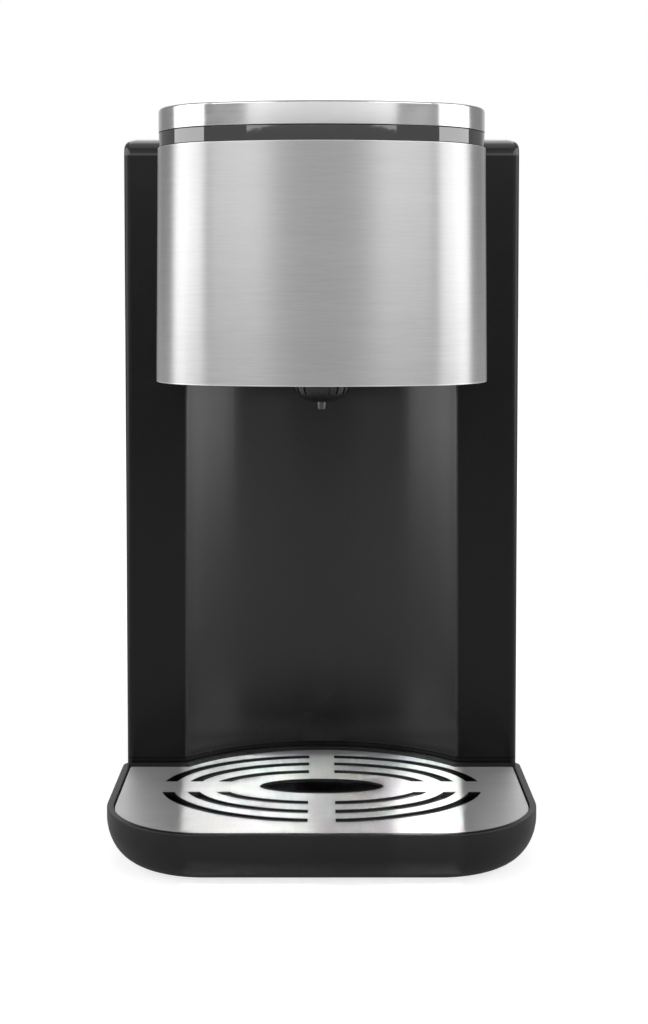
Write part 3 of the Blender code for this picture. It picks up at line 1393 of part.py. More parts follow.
def build_valve(tank_lift):
    """The spring valve in the tank's floor, and the dock in the base that it plugs into."""
    x, y = 0, TANK_MIDDLE_Y
    cage_low = TANK_FLOOR_Z + GAP
    cage_high = cage_low + CAGE_HEIGHT
    roof = cage_high - CAGE_ROOF
    stem_hole = STEM_RADIUS + GAP
    profile = [
        (CAGE_RADIUS, cage_low),
        (CAGE_RADIUS, cage_high),
        (stem_hole, cage_high),
        (stem_hole, roof),
        (CAGE_RADIUS - CAGE_WALL, roof),
        (CAGE_RADIUS - CAGE_WALL, cage_low),
    ]
    cage = turned("valve_cage", (x, y, 0), profile)
    reach = CAGE_RADIUS + OVERRUN
    sill = cage_low + CAGE_SILL
    head = roof - CAGE_ROOF
    half = CAGE_WINDOW_WIDTH / 2
    cut(cage, block("cage_window_x", x - reach, x + reach, y - half, y + half, sill, head))
    cut(cage, block("cage_window_y", x - half, x + half, y - reach, y + reach, sill, head))
    mount_on(dress(cage, WHITE_PLASTIC), tank_lift)

    seal_low = cage_low
    seal = turned(
        "valve_seal",
        (x, y, 0),
        [
            (POPPET_RADIUS - SEAL_WIDTH, seal_low),
            (POPPET_RADIUS, seal_low),
            (POPPET_RADIUS, seal_low + SEAL_THICKNESS),
            (POPPET_RADIUS - SEAL_WIDTH, seal_low + SEAL_THICKNESS),
        ],
    )
    poppet_low = seal_low + SEAL_THICKNESS + GAP
    poppet_high = poppet_low + POPPET_THICKNESS
    pin_top = NECK_BOTTOM_Z + NECK_LENGTH / 4
    plunger = turned(
        "valve_plunger",
        (x, y, 0),
        [
            (0, pin_top + GAP),
            (STEM_RADIUS, pin_top + GAP),
            (STEM_RADIUS, poppet_low),
            (POPPET_RADIUS, poppet_low),
            (POPPET_RADIUS, poppet_high),
            (STEM_RADIUS, poppet_high),
            (STEM_RADIUS, cage_high + STEM_ABOVE_CAGE),
            (0, cage_high + STEM_ABOVE_CAGE),
        ],
    )
    valve = carrier_empty("valve_axis", (x, y, poppet_low), tank_lift)
    mount_on(dress(seal, RUBBER), valve)
    mount_on(dress(plunger, WHITE_PLASTIC), valve)

    low = poppet_high + GAP + SPRING_WIRE
    high = roof - GAP - SPRING_WIRE
    count = SPRING_TURNS * SPRING_POINTS_PER_TURN
    path = []
    for i in range(count + 1):
        turn = 2 * math.pi * i / SPRING_POINTS_PER_TURN
        height = low + (high - low) * i / count
        path.append(Vector((x + SPRING_RADIUS * math.cos(turn), y + SPRING_RADIUS * math.sin(turn), height)))
    spring = loft("valve_spring", rings_along(path, SPRING_WIRE, SPRING_SIDES))
    mount_on(dress(spring, ZINC_STEEL), tank_lift)

    dock_low = DOCK_BOTTOM_Z
    flange_low = DECK_Z + GAP
    bore = DOCK_RADIUS - DOCK_WALL
    dock = turned(
        "tank_dock",
        (x, y, 0),
        [
            (0, dock_low),
            (DOCK_RADIUS, dock_low),
            (DOCK_RADIUS, flange_low),
            (DOCK_FLANGE_RADIUS, flange_low),
            (DOCK_FLANGE_RADIUS, DOCK_TOP_Z),
            (bore, DOCK_TOP_Z),
            (bore, dock_low + DOCK_FLOOR),
            (DOCK_PIN_RADIUS, dock_low + DOCK_FLOOR),
            (DOCK_PIN_RADIUS, pin_top),
            (0, pin_top),
        ],
    )
    outlet_z = dock_low + DOCK_FLOOR + SPIGOT_RADIUS
    spigot = rod(
        "dock_outlet",
        (x, y - DOCK_RADIUS - SPIGOT_LENGTH, outlet_z),
        SPIGOT_RADIUS,
        SPIGOT_LENGTH + DOCK_WALL / 2,
        axis="Y",
    )
    spigot_bore = rod(
        "dock_outlet_bore",
        (x, y - DOCK_RADIUS - SPIGOT_LENGTH - OVERRUN, outlet_z),
        SPIGOT_BORE,
        SPIGOT_LENGTH + DOCK_WALL + OVERRUN + SPIGOT_RADIUS,
        axis="Y",
    )
    dress(cut(fuse(dock, spigot), spigot_bore), WHITE_PLASTIC)

    seal_top = DOCK_TOP_Z - DOCK_FLANGE_THICKNESS
    ring = turned(
        "dock_seal",
        (x, y, 0),
        [
            (NECK_RADIUS + GAP, seal_top - SEAL_RING_HEIGHT),
            (bore - GAP, seal_top - SEAL_RING_HEIGHT),
            (bore - GAP, seal_top),
            (NECK_RADIUS + GAP, seal_top),
        ],
    )
    dress(ring, RUBBER)
    return outlet_z


# Works inside the column
def build_frame():
    """The upright inner frame that carries the heater and the power board, with its two screws."""
    top = COLUMN_BOTTOM_Z + FRAME_HEIGHT
    frame = block("inner_frame", -FRAME_HALF, FRAME_HALF, FRAME_Y, FRAME_Y + FRAME_THICKNESS, COLUMN_BOTTOM_Z, top)
    foot = block(
        "frame_foot",
        -FRAME_HALF,
        FRAME_HALF,
        FRAME_Y - FRAME_FOOT_DEPTH,
        FRAME_Y + FRAME_THICKNESS / 2,
        COLUMN_BOTTOM_Z,
        COLUMN_BOTTOM_Z + FRAME_THICKNESS,
    )
    fuse(frame, foot)
    face = FRAME_Y - STANDOFF + GAP
    for i, (x, z) in enumerate(standoff_places()):
        post = rod(f"standoff_{i}", (x, face, z), POST_RADIUS, STANDOFF + FRAME_THICKNESS / 2, axis="Y")
        fuse(frame, post)
    hollow = block(
        "frame_window",
        HEATER_SIDE - FRAME_WINDOW_WIDTH / 2,
        HEATER_SIDE + FRAME_WINDOW_WIDTH / 2,
        FRAME_Y - OVERRUN,
        FRAME_Y + FRAME_THICKNESS + OVERRUN,
        (HEATER_BOTTOM_Z + HEATER_TOP_Z - FRAME_WINDOW_HEIGHT) / 2,
        (HEATER_BOTTOM_Z + HEATER_TOP_Z + FRAME_WINDOW_HEIGHT) / 2,
    )
    cut(frame, hollow)
    for i, (x, y) in enumerate(frame_screw_places()):
        hole = rod(
            f"frame_hole_{i}",
            (x, y, COLUMN_BOTTOM_Z - OVERRUN),
            SCREW_RADIUS + GAP,
            FRAME_THICKNESS + 2 * OVERRUN,
        )
        cut(frame, hole)
    dress(frame, ZINC_STEEL)
    seat = COLUMN_BOTTOM_Z + FRAME_THICKNESS + GAP
    for name, (x, y) in zip(("frame_screw_left", "frame_screw_right"), frame_screw_places()):
        screw(name, (x, y, seat), FRAME_THICKNESS + SHELL_WALL, -1)


def standoff_places():
    """The four posts behind the power board, as (x, z)."""
    side = POWER_BOARD_WIDTH / 2 - POST_INSET
    low = COLUMN_BOTTOM_Z + POWER_BOARD_UP + POST_INSET
    high = COLUMN_BOTTOM_Z + POWER_BOARD_UP + POWER_BOARD_HEIGHT - POST_INSET
    return [(POWER_BOARD_SIDE + x, z) for x in (-side, side) for z in (low, high)]


def build_electrics():
    """The power board with its relay and capacitor, and the loom up to the control board."""
    back = FRAME_Y - STANDOFF
    low = COLUMN_BOTTOM_Z + POWER_BOARD_UP
    half = POWER_BOARD_WIDTH / 2
    board = block(
        "power_board",
        POWER_BOARD_SIDE - half,
        POWER_BOARD_SIDE + half,
        back - BOARD_THICKNESS,
        back,
        low,
        low + POWER_BOARD_HEIGHT,
    )
    wide, deep, tall = RELAY_SIZE
    face = back - BOARD_THICKNESS
    relay = block(
        "relay",
        POWER_BOARD_SIDE - half / 2 - wide / 2,
        POWER_BOARD_SIDE - half / 2 + wide / 2,
        face - deep,
        face + BOARD_THICKNESS / 2,
        low + tall,
        low + 2 * tall,
    )
    capacitor = rod(
        "capacitor",
        (POWER_BOARD_SIDE + half / 2, face - CAPACITOR_HEIGHT, low + 2 * tall),
        CAPACITOR_RADIUS,
        CAPACITOR_HEIGHT + BOARD_THICKNESS / 2,
        axis="Y",
    )
    top = low + POWER_BOARD_HEIGHT - POST_INSET
    wide, deep, tall = CONNECTOR_SIZE
    connector = block(
        "connector",
        POWER_BOARD_SIDE - wide / 2,
        POWER_BOARD_SIDE + wide / 2,
        face - deep,
        face + BOARD_THICKNESS / 2,
        top - tall,
        top,
    )
    dress(fuse(board, relay, capacitor, connector), CIRCUIT_BOARD)

    plug_y = face - deep / 2
    hole_y = HEAD_TAIL_Y - WIRE_HOLE_FROM_TAIL + WIRE_HOLE_DEPTH / 2
    route = [
        (POWER_BOARD_SIDE, plug_y, top + GAP),
        (POWER_BOARD_SIDE, plug_y, HEAD_BOTTOM_Z + LOOM_RISE),
        (0, hole_y, BAND_TOP_Z - LOOM_DROP),
        (0, hole_y, BOARD_BOTTOM_Z - GAP),
    ]
    loom = loft("wiring_loom", rings_along(bent_route(route, HOSE_BEND), LOOM_RADIUS, HOSE_SIDES))
    dress(loom, RUBBER)


def build_heater():
    """The flow heater between two clamps, with its thermostat and thermal fuse."""
    x, y = HEATER_SIDE, HEATER_Y
    heater = turned(
        "heater",
        (x, y, 0),
        [
            (SPIGOT_BORE, HEATER_BOTTOM_Z - SPIGOT_LENGTH),
            (SPIGOT_RADIUS, HEATER_BOTTOM_Z - SPIGOT_LENGTH),
            (SPIGOT_RADIUS, HEATER_BOTTOM_Z),
            (HEATER_RADIUS, HEATER_BOTTOM_Z),
            (HEATER_RADIUS, HEATER_TOP_Z),
            (SPIGOT_RADIUS, HEATER_TOP_Z),
            (SPIGOT_RADIUS, HEATER_TOP_Z + SPIGOT_LENGTH),
            (SPIGOT_BORE, HEATER_TOP_Z + SPIGOT_LENGTH),
        ],
    )
    dress(heater, ZINC_STEEL)
    middle = (HEATER_BOTTOM_Z + HEATER_TOP_Z) / 2
    inner = HEATER_RADIUS + GAP
    for name, side in (("heater_clamp_lower", -1), ("heater_clamp_upper", 1)):
        low = middle + side * CLAMP_SPREAD / 2 - CLAMP_HEIGHT / 2
        high = low + CLAMP_HEIGHT
        band = turned(
            name,
            (x, y, 0),
            [
                (inner, low),
                (inner + CLAMP_THICKNESS, low),
                (inner + CLAMP_THICKNESS, high),
                (inner, high),
            ],
        )
        tab = block(
            name + "_tab",
            x - CLAMP_TAB_WIDTH / 2,
            x + CLAMP_TAB_WIDTH / 2,
            FRAME_Y + FRAME_THICKNESS + GAP,
            y - inner - CLAMP_THICKNESS / 4,
            low,
            high,
        )
        bore = rod(name + "_bore", (x, y, low - OVERRUN), inner, CLAMP_HEIGHT + 2 * OVERRUN, ROUND_STEPS)
        dress(cut(fuse(band, tab), bore), ZINC_STEEL)
    thermostat = rod(
        "thermostat",
        (x - HEATER_RADIUS - GAP - THERMOSTAT_LENGTH, y, middle),
        THERMOSTAT_RADIUS,
        THERMOSTAT_LENGTH,
        ROUND_STEPS,
        "X",
    )
    dress(thermostat, POLISHED_STEEL)
    turn = math.radians(FUSE_ANGLE_DEG + 90)
    reach = HEATER_RADIUS + GAP + FUSE_RADIUS
    fuse_place = (x + reach * math.cos(turn), y + reach * math.sin(turn), middle - FUSE_LENGTH / 2)
    dress(rod("thermal_fuse", fuse_place, FUSE_RADIUS, FUSE_LENGTH), WHITE_PLASTIC)


def build_pump():
    """The pump on its bracket, standing on the base's deck."""
    x, y = PUMP_SIDE, HEATER_Y
    bracket = prism(
        "pump_bracket",
        centred_box((x, y), BRACKET_SIZE, HEATER_RADIUS * 2, POST_RADIUS),
        COLUMN_BOTTOM_Z,
        COLUMN_BOTTOM_Z + BRACKET_THICKNESS,
    )
    hole = rod(
        "bracket_hole",
        (x, y, COLUMN_BOTTOM_Z - OVERRUN),
        HOSE_RADIUS + GAP,
        BRACKET_THICKNESS + 2 * OVERRUN,
        ROUND_STEPS,
    )
    dress(cut(bracket, hole), ZINC_STEEL)
    pump = turned(
        "pump",
        (x, y, 0),
        [
            (0, PUMP_BOTTOM_Z - PUMP_INLET_LENGTH),
            (SPIGOT_RADIUS, PUMP_BOTTOM_Z - PUMP_INLET_LENGTH),
            (SPIGOT_RADIUS, PUMP_BOTTOM_Z),
            (PUMP_RADIUS, PUMP_BOTTOM_Z),
            (PUMP_RADIUS, PUMP_BOTTOM_Z + PUMP_HEIGHT / 2),
            (PUMP_RADIUS - SHELL_WALL, PUMP_BOTTOM_Z + PUMP_HEIGHT / 2),
            (PUMP_RADIUS - SHELL_WALL, PUMP_BOTTOM_Z + PUMP_HEIGHT),
            (0, PUMP_BOTTOM_Z + PUMP_HEIGHT),
        ],
    )
    outlet = rod(
        "pump_outlet",
        (x + PUMP_RADIUS - SHELL_WALL, y, PUMP_BOTTOM_Z + PUMP_OUTLET_UP),
        SPIGOT_RADIUS,
        SPIGOT_LENGTH + SHELL_WALL,
        axis="X",
    )
    dress(fuse(pump, outlet), INNER_PLASTIC)


def build_hoses(dock_outlet_z):
    """Silicone hoses from the dock to the pump, on to the heater, and up to the steam chamber."""
    dock_face = TANK_MIDDLE_Y - DOCK_RADIUS - GAP
    hose(
        "inlet_hose",
        [
            (0, dock_face, dock_outlet_z),
            (0, dock_face - SPIGOT_LENGTH - HOSE_BEND, dock_outlet_z),
            (PUMP_SIDE, HEATER_Y, dock_outlet_z),
            (PUMP_SIDE, HEATER_Y, PUMP_BOTTOM_Z - GAP),
        ],
    )
    outlet_z = PUMP_BOTTOM_Z + PUMP_OUTLET_UP
    hose(
        "pump_hose",
        [
            (PUMP_SIDE + PUMP_RADIUS + GAP, HEATER_Y, outlet_z),
            (HEATER_SIDE, HEATER_Y, outlet_z),
            (HEATER_SIDE, HEATER_Y, HEATER_BOTTOM_Z - GAP),
        ],
    )
    inlet_z = CHAMBER_BOTTOM_Z + CHAMBER_INLET_UP
    over_z = COLUMN_BOTTOM_Z + FRAME_HEIGHT + OUTLET_HOSE_RISE
    chamber_face = SPOUT_Y + CHAMBER_RADIUS + GAP
    hose(
        "outlet_hose",
        [
            (HEATER_SIDE, HEATER_Y, HEATER_TOP_Z + GAP),
            (HEATER_SIDE, HEATER_Y, over_z),
            (HEATER_SIDE, HEAD_TAIL_Y + HOSE_BEND, over_z),
            (0, chamber_face + SPIGOT_LENGTH + HOSE_BEND, inlet_z),
            (0, chamber_face, inlet_z),
        ],
    )


def main():
    """Clears the scene and builds every piece."""
    for old in list(bpy.data.objects):
        bpy.data.objects.remove(old)
    build_base()
    build_column()
    build_head()
    build_controls()
    build_spout()
    build_tray()
    tank_lift = build_tank()
    dock_outlet_z = build_valve(tank_lift)
    build_frame()
    build_electrics()
    build_heater()
    build_pump()
    build_hoses(dock_outlet_z)


main()
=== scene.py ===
"""Looks of the countertop instant hot water dispenser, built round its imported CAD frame.

Everything is in metres in the frame of the CAD model: the front faces -Y and the table is at height 0.
"""

import json
import logging
import math
from collections.abc import Callable, Sequence
from dataclasses import dataclass
from enum import Enum

import bmesh
import bpy
from mathutils import Matrix, Quaternion, Vector


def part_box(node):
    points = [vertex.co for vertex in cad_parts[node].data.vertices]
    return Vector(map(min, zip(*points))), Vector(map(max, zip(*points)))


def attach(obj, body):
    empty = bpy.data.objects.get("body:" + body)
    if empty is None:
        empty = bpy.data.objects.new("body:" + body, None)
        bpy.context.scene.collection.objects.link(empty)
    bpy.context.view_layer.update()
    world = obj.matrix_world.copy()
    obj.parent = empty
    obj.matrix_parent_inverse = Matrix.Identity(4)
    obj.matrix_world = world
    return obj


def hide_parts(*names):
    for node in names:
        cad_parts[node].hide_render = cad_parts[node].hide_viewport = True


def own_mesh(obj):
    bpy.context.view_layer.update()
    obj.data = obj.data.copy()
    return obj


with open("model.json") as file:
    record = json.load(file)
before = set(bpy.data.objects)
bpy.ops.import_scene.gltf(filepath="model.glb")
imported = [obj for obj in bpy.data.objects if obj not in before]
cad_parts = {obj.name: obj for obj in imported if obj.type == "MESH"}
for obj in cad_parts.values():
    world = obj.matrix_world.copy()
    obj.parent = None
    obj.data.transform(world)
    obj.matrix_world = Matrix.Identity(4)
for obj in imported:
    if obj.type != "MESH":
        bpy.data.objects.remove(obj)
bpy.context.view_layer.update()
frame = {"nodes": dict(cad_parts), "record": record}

LOG = logging.getLogger("dispenser")
Piece = bpy.types.Object
Plan = list[tuple[float, float]]
Pair = tuple[float, float]
Point = tuple[float, float, float]
Colour = tuple[float, float, float]
Values = dict[int | str, object]
QUARTER = math.pi / 2
# The clearance between two pieces, the smallest step of a shape, and how far a cutter runs past what it cuts.
GAP, TINY, CUT = 0.0003, 0.0001, 0.003
# Points closer than WELD are one point, and edges steeper than SHARP stay sharp.
WELD, SHARP = TINY / 50, math.radians(32.0)


class Axis(Enum):
    """The axis that a brushed grain or a board's tracks run along."""

    X = 0
    Y = 1
    Z = 2


# Node trees


class Signal:
    """A socket in a node tree that can be added, multiplied and compared like a number."""

    def __init__(self, tree: "Tree", socket: bpy.types.NodeSocket) -> None:
        """Wraps an output socket of a tree."""
        self.tree = tree
        self.socket = socket

    def maths(self, operation: str, *others: "Signal | float") -> "Signal":
        """Joins this signal and others with one Math node."""
        return self.tree.node("ShaderNodeMath", dict(enumerate((self, *others))), operation=operation)

    def __add__(self, other: "Signal | float") -> "Signal":
        """Adds."""
        return self.maths("ADD", other)

    def __sub__(self, other: "Signal | float") -> "Signal":
        """Subtracts."""
        return self.maths("SUBTRACT", other)

    def __mul__(self, other: "Signal | float") -> "Signal":
        """Multiplies."""
        return self.maths("MULTIPLY", other)

    def __truediv__(self, other: "Signal | float") -> "Signal":
        """Divides."""
        return self.maths("DIVIDE", other)

    def __pow__(self, other: "Signal | float") -> "Signal":
        """Raises to a power."""
        return self.maths("POWER", other)

    __radd__ = __add__
    __rmul__ = __mul__

    def __rsub__(self, other: float) -> "Signal":
        """Takes this signal from a number."""
        return self.tree.node("ShaderNodeMath", {0: other, 1: self}, operation="SUBTRACT")

    def step(self, low: float, high: float) -> "Signal":
        """Rises smoothly from 0 at low to 1 at high."""
        values = {"Value": self, "From Min": low, "From Max": high}
        return self.tree.node("ShaderNodeMapRange", values, interpolation_type="SMOOTHSTEP")

    def between(self, first: "Colour | Signal", second: "Colour | Signal") -> "Signal":
        """Mixes two colours by this signal.

        Args:
            first: the colour at 0.
            second: the colour at 1.

        Returns:
            The mixed colour.
        """
        ends = [colour if isinstance(colour, Signal) else (*colour, 1.0) for colour in (first, second)]
        return self.tree.node("ShaderNodeMix", {0: self, 6: ends[0], 7: ends[1]}, 2, data_type="RGBA")


class Tree:
    """A node tree, with the one method that makes its nodes."""

    def __init__(self, tree: bpy.types.NodeTree) -> None:
        """Takes the tree."""
        self.tree = tree

    def plug(self, node: bpy.types.Node, key: int | str, value: object) -> None:
        """Links or sets one input of a node.

        Args:
            node: the node.
            key: the input's name or number.
            value: a signal or a plain value.
        """
        if isinstance(value, Signal):
            self.tree.links.new(value.socket, node.inputs[key])
        else:
            node.inputs[key].default_value = value

    def node(self, kind: str, values: Values, output: int | str = 0, **settings: object) -> Signal:
        """Makes one node.

        Args:
            kind: the node's type.
            values: a signal or a plain value for each input that is set.
            output: the output that is handed on.
            settings: the node's own properties.

        Returns:
            The chosen output.
        """
        made = self.tree.nodes.new(kind)
        for name, value in settings.items():
            setattr(made, name, value)
        for key, value in values.items():
            self.plug(made, key, value)
        return Signal(self, made.outputs[output])

    def split(self, vector: Signal) -> list[Signal]:
        """A vector's three coordinates, one by one."""
        outputs = self.node("ShaderNodeSeparateXYZ", {0: vector}).socket.node.outputs
        return [Signal(self, output) for output in outputs]


class Shader(Tree):
    """The node tree of a material or of the world."""

    def __init__(self, owner: bpy.types.Material | bpy.types.World, last: str = "Principled BSDF") -> None:
        """Starts the tree.

        Args:
            owner: the material or the world.
            last: the name of the shader node that is fed.
        """
        owner.use_nodes = True
        super().__init__(owner.node_tree)
        self.last = self.tree.nodes[last]

    def places(self) -> Signal:
        """The point on the object, in metres in the frame's own axes."""
        return self.node("ShaderNodeTexCoord", {}, "Object")

    def axes(self) -> list[Signal]:
        """The point's three coordinates, one by one."""
        return self.split(self.places())

    def noise(self, scales: Point | float, detail: float = 3.0, rough: float = 0.5, seed: Point = (0, 0, 0)) -> Signal:
        """Soft noise, stretched by one scale for each axis.

        Args:
            scales: cells in a metre along X, Y and Z, or one number for all three.
            detail: octaves of finer noise.
            rough: how strong the finer octaves are.
            seed: an offset that keeps two layers apart.

        Returns:
            A value round 0.5.
        """
        scales = scales if isinstance(scales, tuple) else (scales,) * 3
        stretched = self.node("ShaderNodeMapping", {0: self.places(), 1: seed, 3: scales})
        values = {"Vector": stretched, "Scale": 1.0, "Detail": detail, "Roughness": rough}
        return self.node("ShaderNodeTexNoise", values, "Fac")

    def cells(self, scale: float) -> Signal:
        """Distances in a pattern of irregular cells, with so many cells in a metre."""
        return self.node("ShaderNodeTexVoronoi", {"Vector": self.places(), "Scale": scale}, "Distance")

    def bump(self, height: Signal, distance: float, strength: float = 1.0) -> None:
        """Presses a height signal into the surface.

        Args:
            height: the signal.
            distance: the real height of a step from 0 to 1.
            strength: the share of it that shows.
        """
        values = {"Height": height, "Distance": distance, "Strength": strength}
        self.feed("Normal", self.node("ShaderNodeBump", values, "Normal"))

    def feed(self, socket: str, value: object) -> None:
        """Sets or links an input of the last node."""
        self.plug(self.last, socket, value)


# Finishes


@dataclass(frozen=True)
class Finish:
    """A procedural look, which each kind of finish paints in its own way."""

    slot: str
    colour: Colour

    def paint(self, shader: Shader) -> None:
        """Feeds the material's shader."""
        raise NotImplementedError

    def shade(self, factor: float) -> Colour:
        """The colour made lighter or darker, with no channel over 1."""
        return tuple(min(1.0, channel * factor) for channel in self.colour)

    def toned(self, share: Signal, low: float, high: float) -> Signal:
        """The colour, from one factor to another as a signal rises."""
        return share.between(self.shade(low), self.shade(high))

    def material(self, name: str) -> bpy.types.Material:
        """Builds the material.

        Args:
            name: its name.

        Returns:
            The material.
        """
        made = bpy.data.materials.new(name)
        self.paint(Shader(made))
        return made


@dataclass(frozen=True)
class Moulded(Finish):
    """Moulded plastic with a fine spark-eroded grain and slight flow marks, lacquered in one recess.

    The lacquer's numbers are half the recess's width, the Y of its mouth and of its back, and the height
    from which the top edge is lacquered too.
    """

    roughness: float = 0.40
    grain: float = 2600.0
    depth: float = 0.000012
    specular: float = 0.5
    lacquer: tuple[float, float, float, float] = (0.0, 0.0, 0.0, 0.0)
    coat: float = 0.85
    coat_roughness: float = 0.22
    coat_edge: float = 0.0006

    def paint(self, shader: Shader) -> None:
        """Paints the plastic.

        Args:
            shader: the material's shader.
        """
        mottle = shader.noise(60.0, 4.0, 0.6)
        grain = shader.noise(self.grain, 2.0)
        pores = shader.cells(self.grain * 0.45)
        shader.feed("Base Color", self.toned(mottle, 0.86, 1.16))
        shader.feed("Roughness", (mottle - 0.5) * 0.10 + (grain - 0.5) * 0.08 + self.roughness)
        shader.feed("Specular IOR Level", self.specular)
        half, front, back, top = self.lacquer
        if half:
            x, y, z = shader.axes()
            across = 1.0 - x.maths("ABSOLUTE").step(half - TINY, half)
            inside = across * y.step(front, front + TINY) * (1.0 - y.step(back - TINY, back))
            shader.feed("Coat Weight", (inside * self.coat).maths("MAXIMUM", z.step(top, top + self.coat_edge)))
            shader.feed("Coat Roughness", self.coat_roughness)
        shader.bump(grain * 0.6 + pores * 0.4, self.depth, 0.6)


@dataclass(frozen=True)
class Glossy(Finish):
    """High-gloss lacquered plastic with a faint orange peel and hairline polishing marks."""

    roughness: float = 0.07
    ior: float = 1.5

    def paint(self, shader: Shader) -> None:
        """Paints the lacquer.

        Args:
            shader: the material's shader.
        """
        peel = shader.noise(240.0, 1.0)
        marks = shader.noise((60.0, 4200.0, 4200.0))
        shader.feed("IOR", self.ior)
        shader.feed("Base Color", self.toned(peel, 1.0, 1.3))
        shader.feed("Roughness", marks.step(0.35, 0.8) * 0.05 + self.roughness)
        shader.feed("Coat Weight", 0.5)
        shader.feed("Coat Roughness", 0.03)
        shader.bump(peel, 0.00002, 0.25)


@dataclass(frozen=True)
class Brushed(Finish):
    """Stainless steel with a directional brushed grain, lightened or darkened between some heights as painted light.

    Each painted band is a low height, a high height and the colour's factor between them: a factor over 1 is a painted
    highlight, one under 1 is painted shade.
    """

    along: Axis
    roughness: float = 0.26
    contrast: float = 0.10
    anisotropy: float = 0.6
    groove: float = 0.000002
    # Heights where the colour is lightened as a painted highlight or darkened as painted shade.
    painted_highlight_and_shade: tuple[Point, ...] = ()

    def paint(self, shader: Shader) -> None:
        """Paints the steel.

        Args:
            shader: the material's shader.
        """
        hair = shader.noise(self.stretched(4200.0, 110.0), 4.0, 0.7)
        streak = shader.noise(self.stretched(1100.0, 55.0), 3.0, 0.6, (3.1, 0.7, 1.9))
        cloud = shader.noise(self.stretched(160.0, 12.0), 2.0, 0.5, (0.4, 5.3, 2.2))
        light = hair * 0.5 + streak * 0.35 + cloud * 0.15
        colour = self.toned(light.step(0.3, 0.7), 1.0 - self.contrast, 1.0 + self.contrast)
        height = shader.axes()[2]
        # Painted light: between each pair of heights the colour is lightened for a painted highlight or darkened for
        # painted shade.
        for bottom, top, factor in self.painted_highlight_and_shade:
            inside = height.step(bottom - TINY, bottom) * (1.0 - height.step(top, top + TINY))
            colour = inside.between(colour, self.shade(factor))
        shader.feed("Base Color", colour)
        shader.feed("Roughness", (streak - 0.5) * 0.14 + (hair - 0.5) * 0.10 + self.roughness)
        shader.feed("Metallic", 1.0)
        shader.feed("Anisotropic", self.anisotropy)
        shader.feed("Anisotropic Rotation", 0.25)
        shader.bump(hair * 0.7 + streak * 0.3, self.groove)

    def stretched(self, across: float, along: float) -> Point:
        """The noise scales of a straight grain, or of one that runs round Z."""
        slow = (Axis.X, Axis.Y) if self.along is Axis.Z else (self.along,)
        return tuple(along if axis in slow else across for axis in Axis)


@dataclass(frozen=True)
class Polished(Finish):
    """Bright polished metal with faint wipe marks."""

    roughness: float = 0.12

    def paint(self, shader: Shader) -> None:
        """Paints the metal.

        Args:
            shader: the material's shader.
        """
        wipe = shader.noise((30.0, 30.0, 1800.0), 4.0, 0.65)
        haze = shader.noise(45.0)
        shader.feed("Base Color", self.toned(wipe, 0.95, 1.05))
        shader.feed("Roughness", haze.step(0.3, 0.75) * 0.06 + (wipe - 0.5) * 0.05 + self.roughness)
        shader.feed("Metallic", 1.0)
        shader.bump(wipe, 0.000003, 0.2)


@dataclass(frozen=True)
class Plated(Finish):
    """Zinc-plated or galvanised steel with a soft spangle."""

    spangle: float = 260.0
    roughness: float = 0.36

    def paint(self, shader: Shader) -> None:
        """Paints the plating.

        Args:
            shader: the material's shader.
        """
        crystal = shader.cells(self.spangle)
        stain = shader.noise(90.0, 4.0, 0.6)
        shader.feed("Base Color", self.toned((crystal + stain * 0.6).step(0.2, 1.2), 0.8, 1.15))
        shader.feed("Roughness", (stain - 0.5) * 0.2 + crystal * 0.08 + self.roughness)
        shader.feed("Metallic", 1.0)
        shader.bump(stain, 0.00002, 0.3)


@dataclass(frozen=True)
class Rubbery(Finish):
    """Rubber or silicone with a dull bloom and a moulded skin."""

    roughness: float = 0.72
    through: float = 0.0

    def paint(self, shader: Shader) -> None:
        """Paints the rubber.

        Args:
            shader: the material's shader.
        """
        bloom = shader.noise(140.0, 4.0, 0.6)
        skin = shader.noise(3000.0, 2.0)
        shader.feed("Base Color", self.toned(bloom.step(0.35, 0.75), 1.0, 1.35))
        shader.feed("Roughness", (bloom - 0.5) * 0.2 + self.roughness)
        if self.through:
            shader.feed("Subsurface Weight", self.through)
            shader.feed("Subsurface Scale", 0.002)
        shader.bump(skin, 0.00002, 0.5)


@dataclass(frozen=True)
class Clear(Finish):
    """Smoked clear plastic, with a faint flow line and a slightly rippled moulded skin."""

    roughness: float = 0.04
    ior: float = 1.49

    def paint(self, shader: Shader) -> None:
        """Paints the plastic.

        Args:
            shader: the material's shader.
        """
        ripple = shader.noise((60.0, 60.0, 22.0))
        scuffs = shader.noise((900.0, 900.0, 120.0), 4.0, 0.7)
        shader.feed("Base Color", self.toned(ripple, 0.93, 1.0))
        shader.feed("Roughness", scuffs.step(0.5, 0.85) * 0.10 + self.roughness)
        shader.feed("Transmission Weight", 1.0)
        shader.feed("IOR", self.ior)
        shader.bump(ripple, 0.00006, 0.3)


@dataclass(frozen=True)
class Circuit(Finish):
    """A green circuit board with copper tracks under its lacquer and tinned vias."""

    flat: tuple[Axis, Axis]
    tin: Colour = (0.55, 0.54, 0.5)

    def paint(self, shader: Shader) -> None:
        """Paints the board.

        Args:
            shader: the material's shader.
        """
        coordinates = shader.axes()
        across, along = (coordinates[axis.value] for axis in self.flat)
        lane = (across * 420.0).maths("FRACT").step(0.40, 0.46)
        bend = (along * 130.0).maths("SINE") * 0.5 + 0.5
        bus = shader.noise(70.0, 1.0).step(0.47, 0.50)
        track = lane * bus * bend.step(0.10, 0.14)
        spot = shader.cells(330.0).step(0.16, 0.12)
        shader.feed("Base Color", spot.between(self.toned(track, 1.0, 1.9), self.tin))
        shader.feed("Metallic", spot * 0.9)
        shader.feed("Roughness", spot * -0.1 + 0.38)
        shader.bump(track + spot, 0.00004, 0.6)


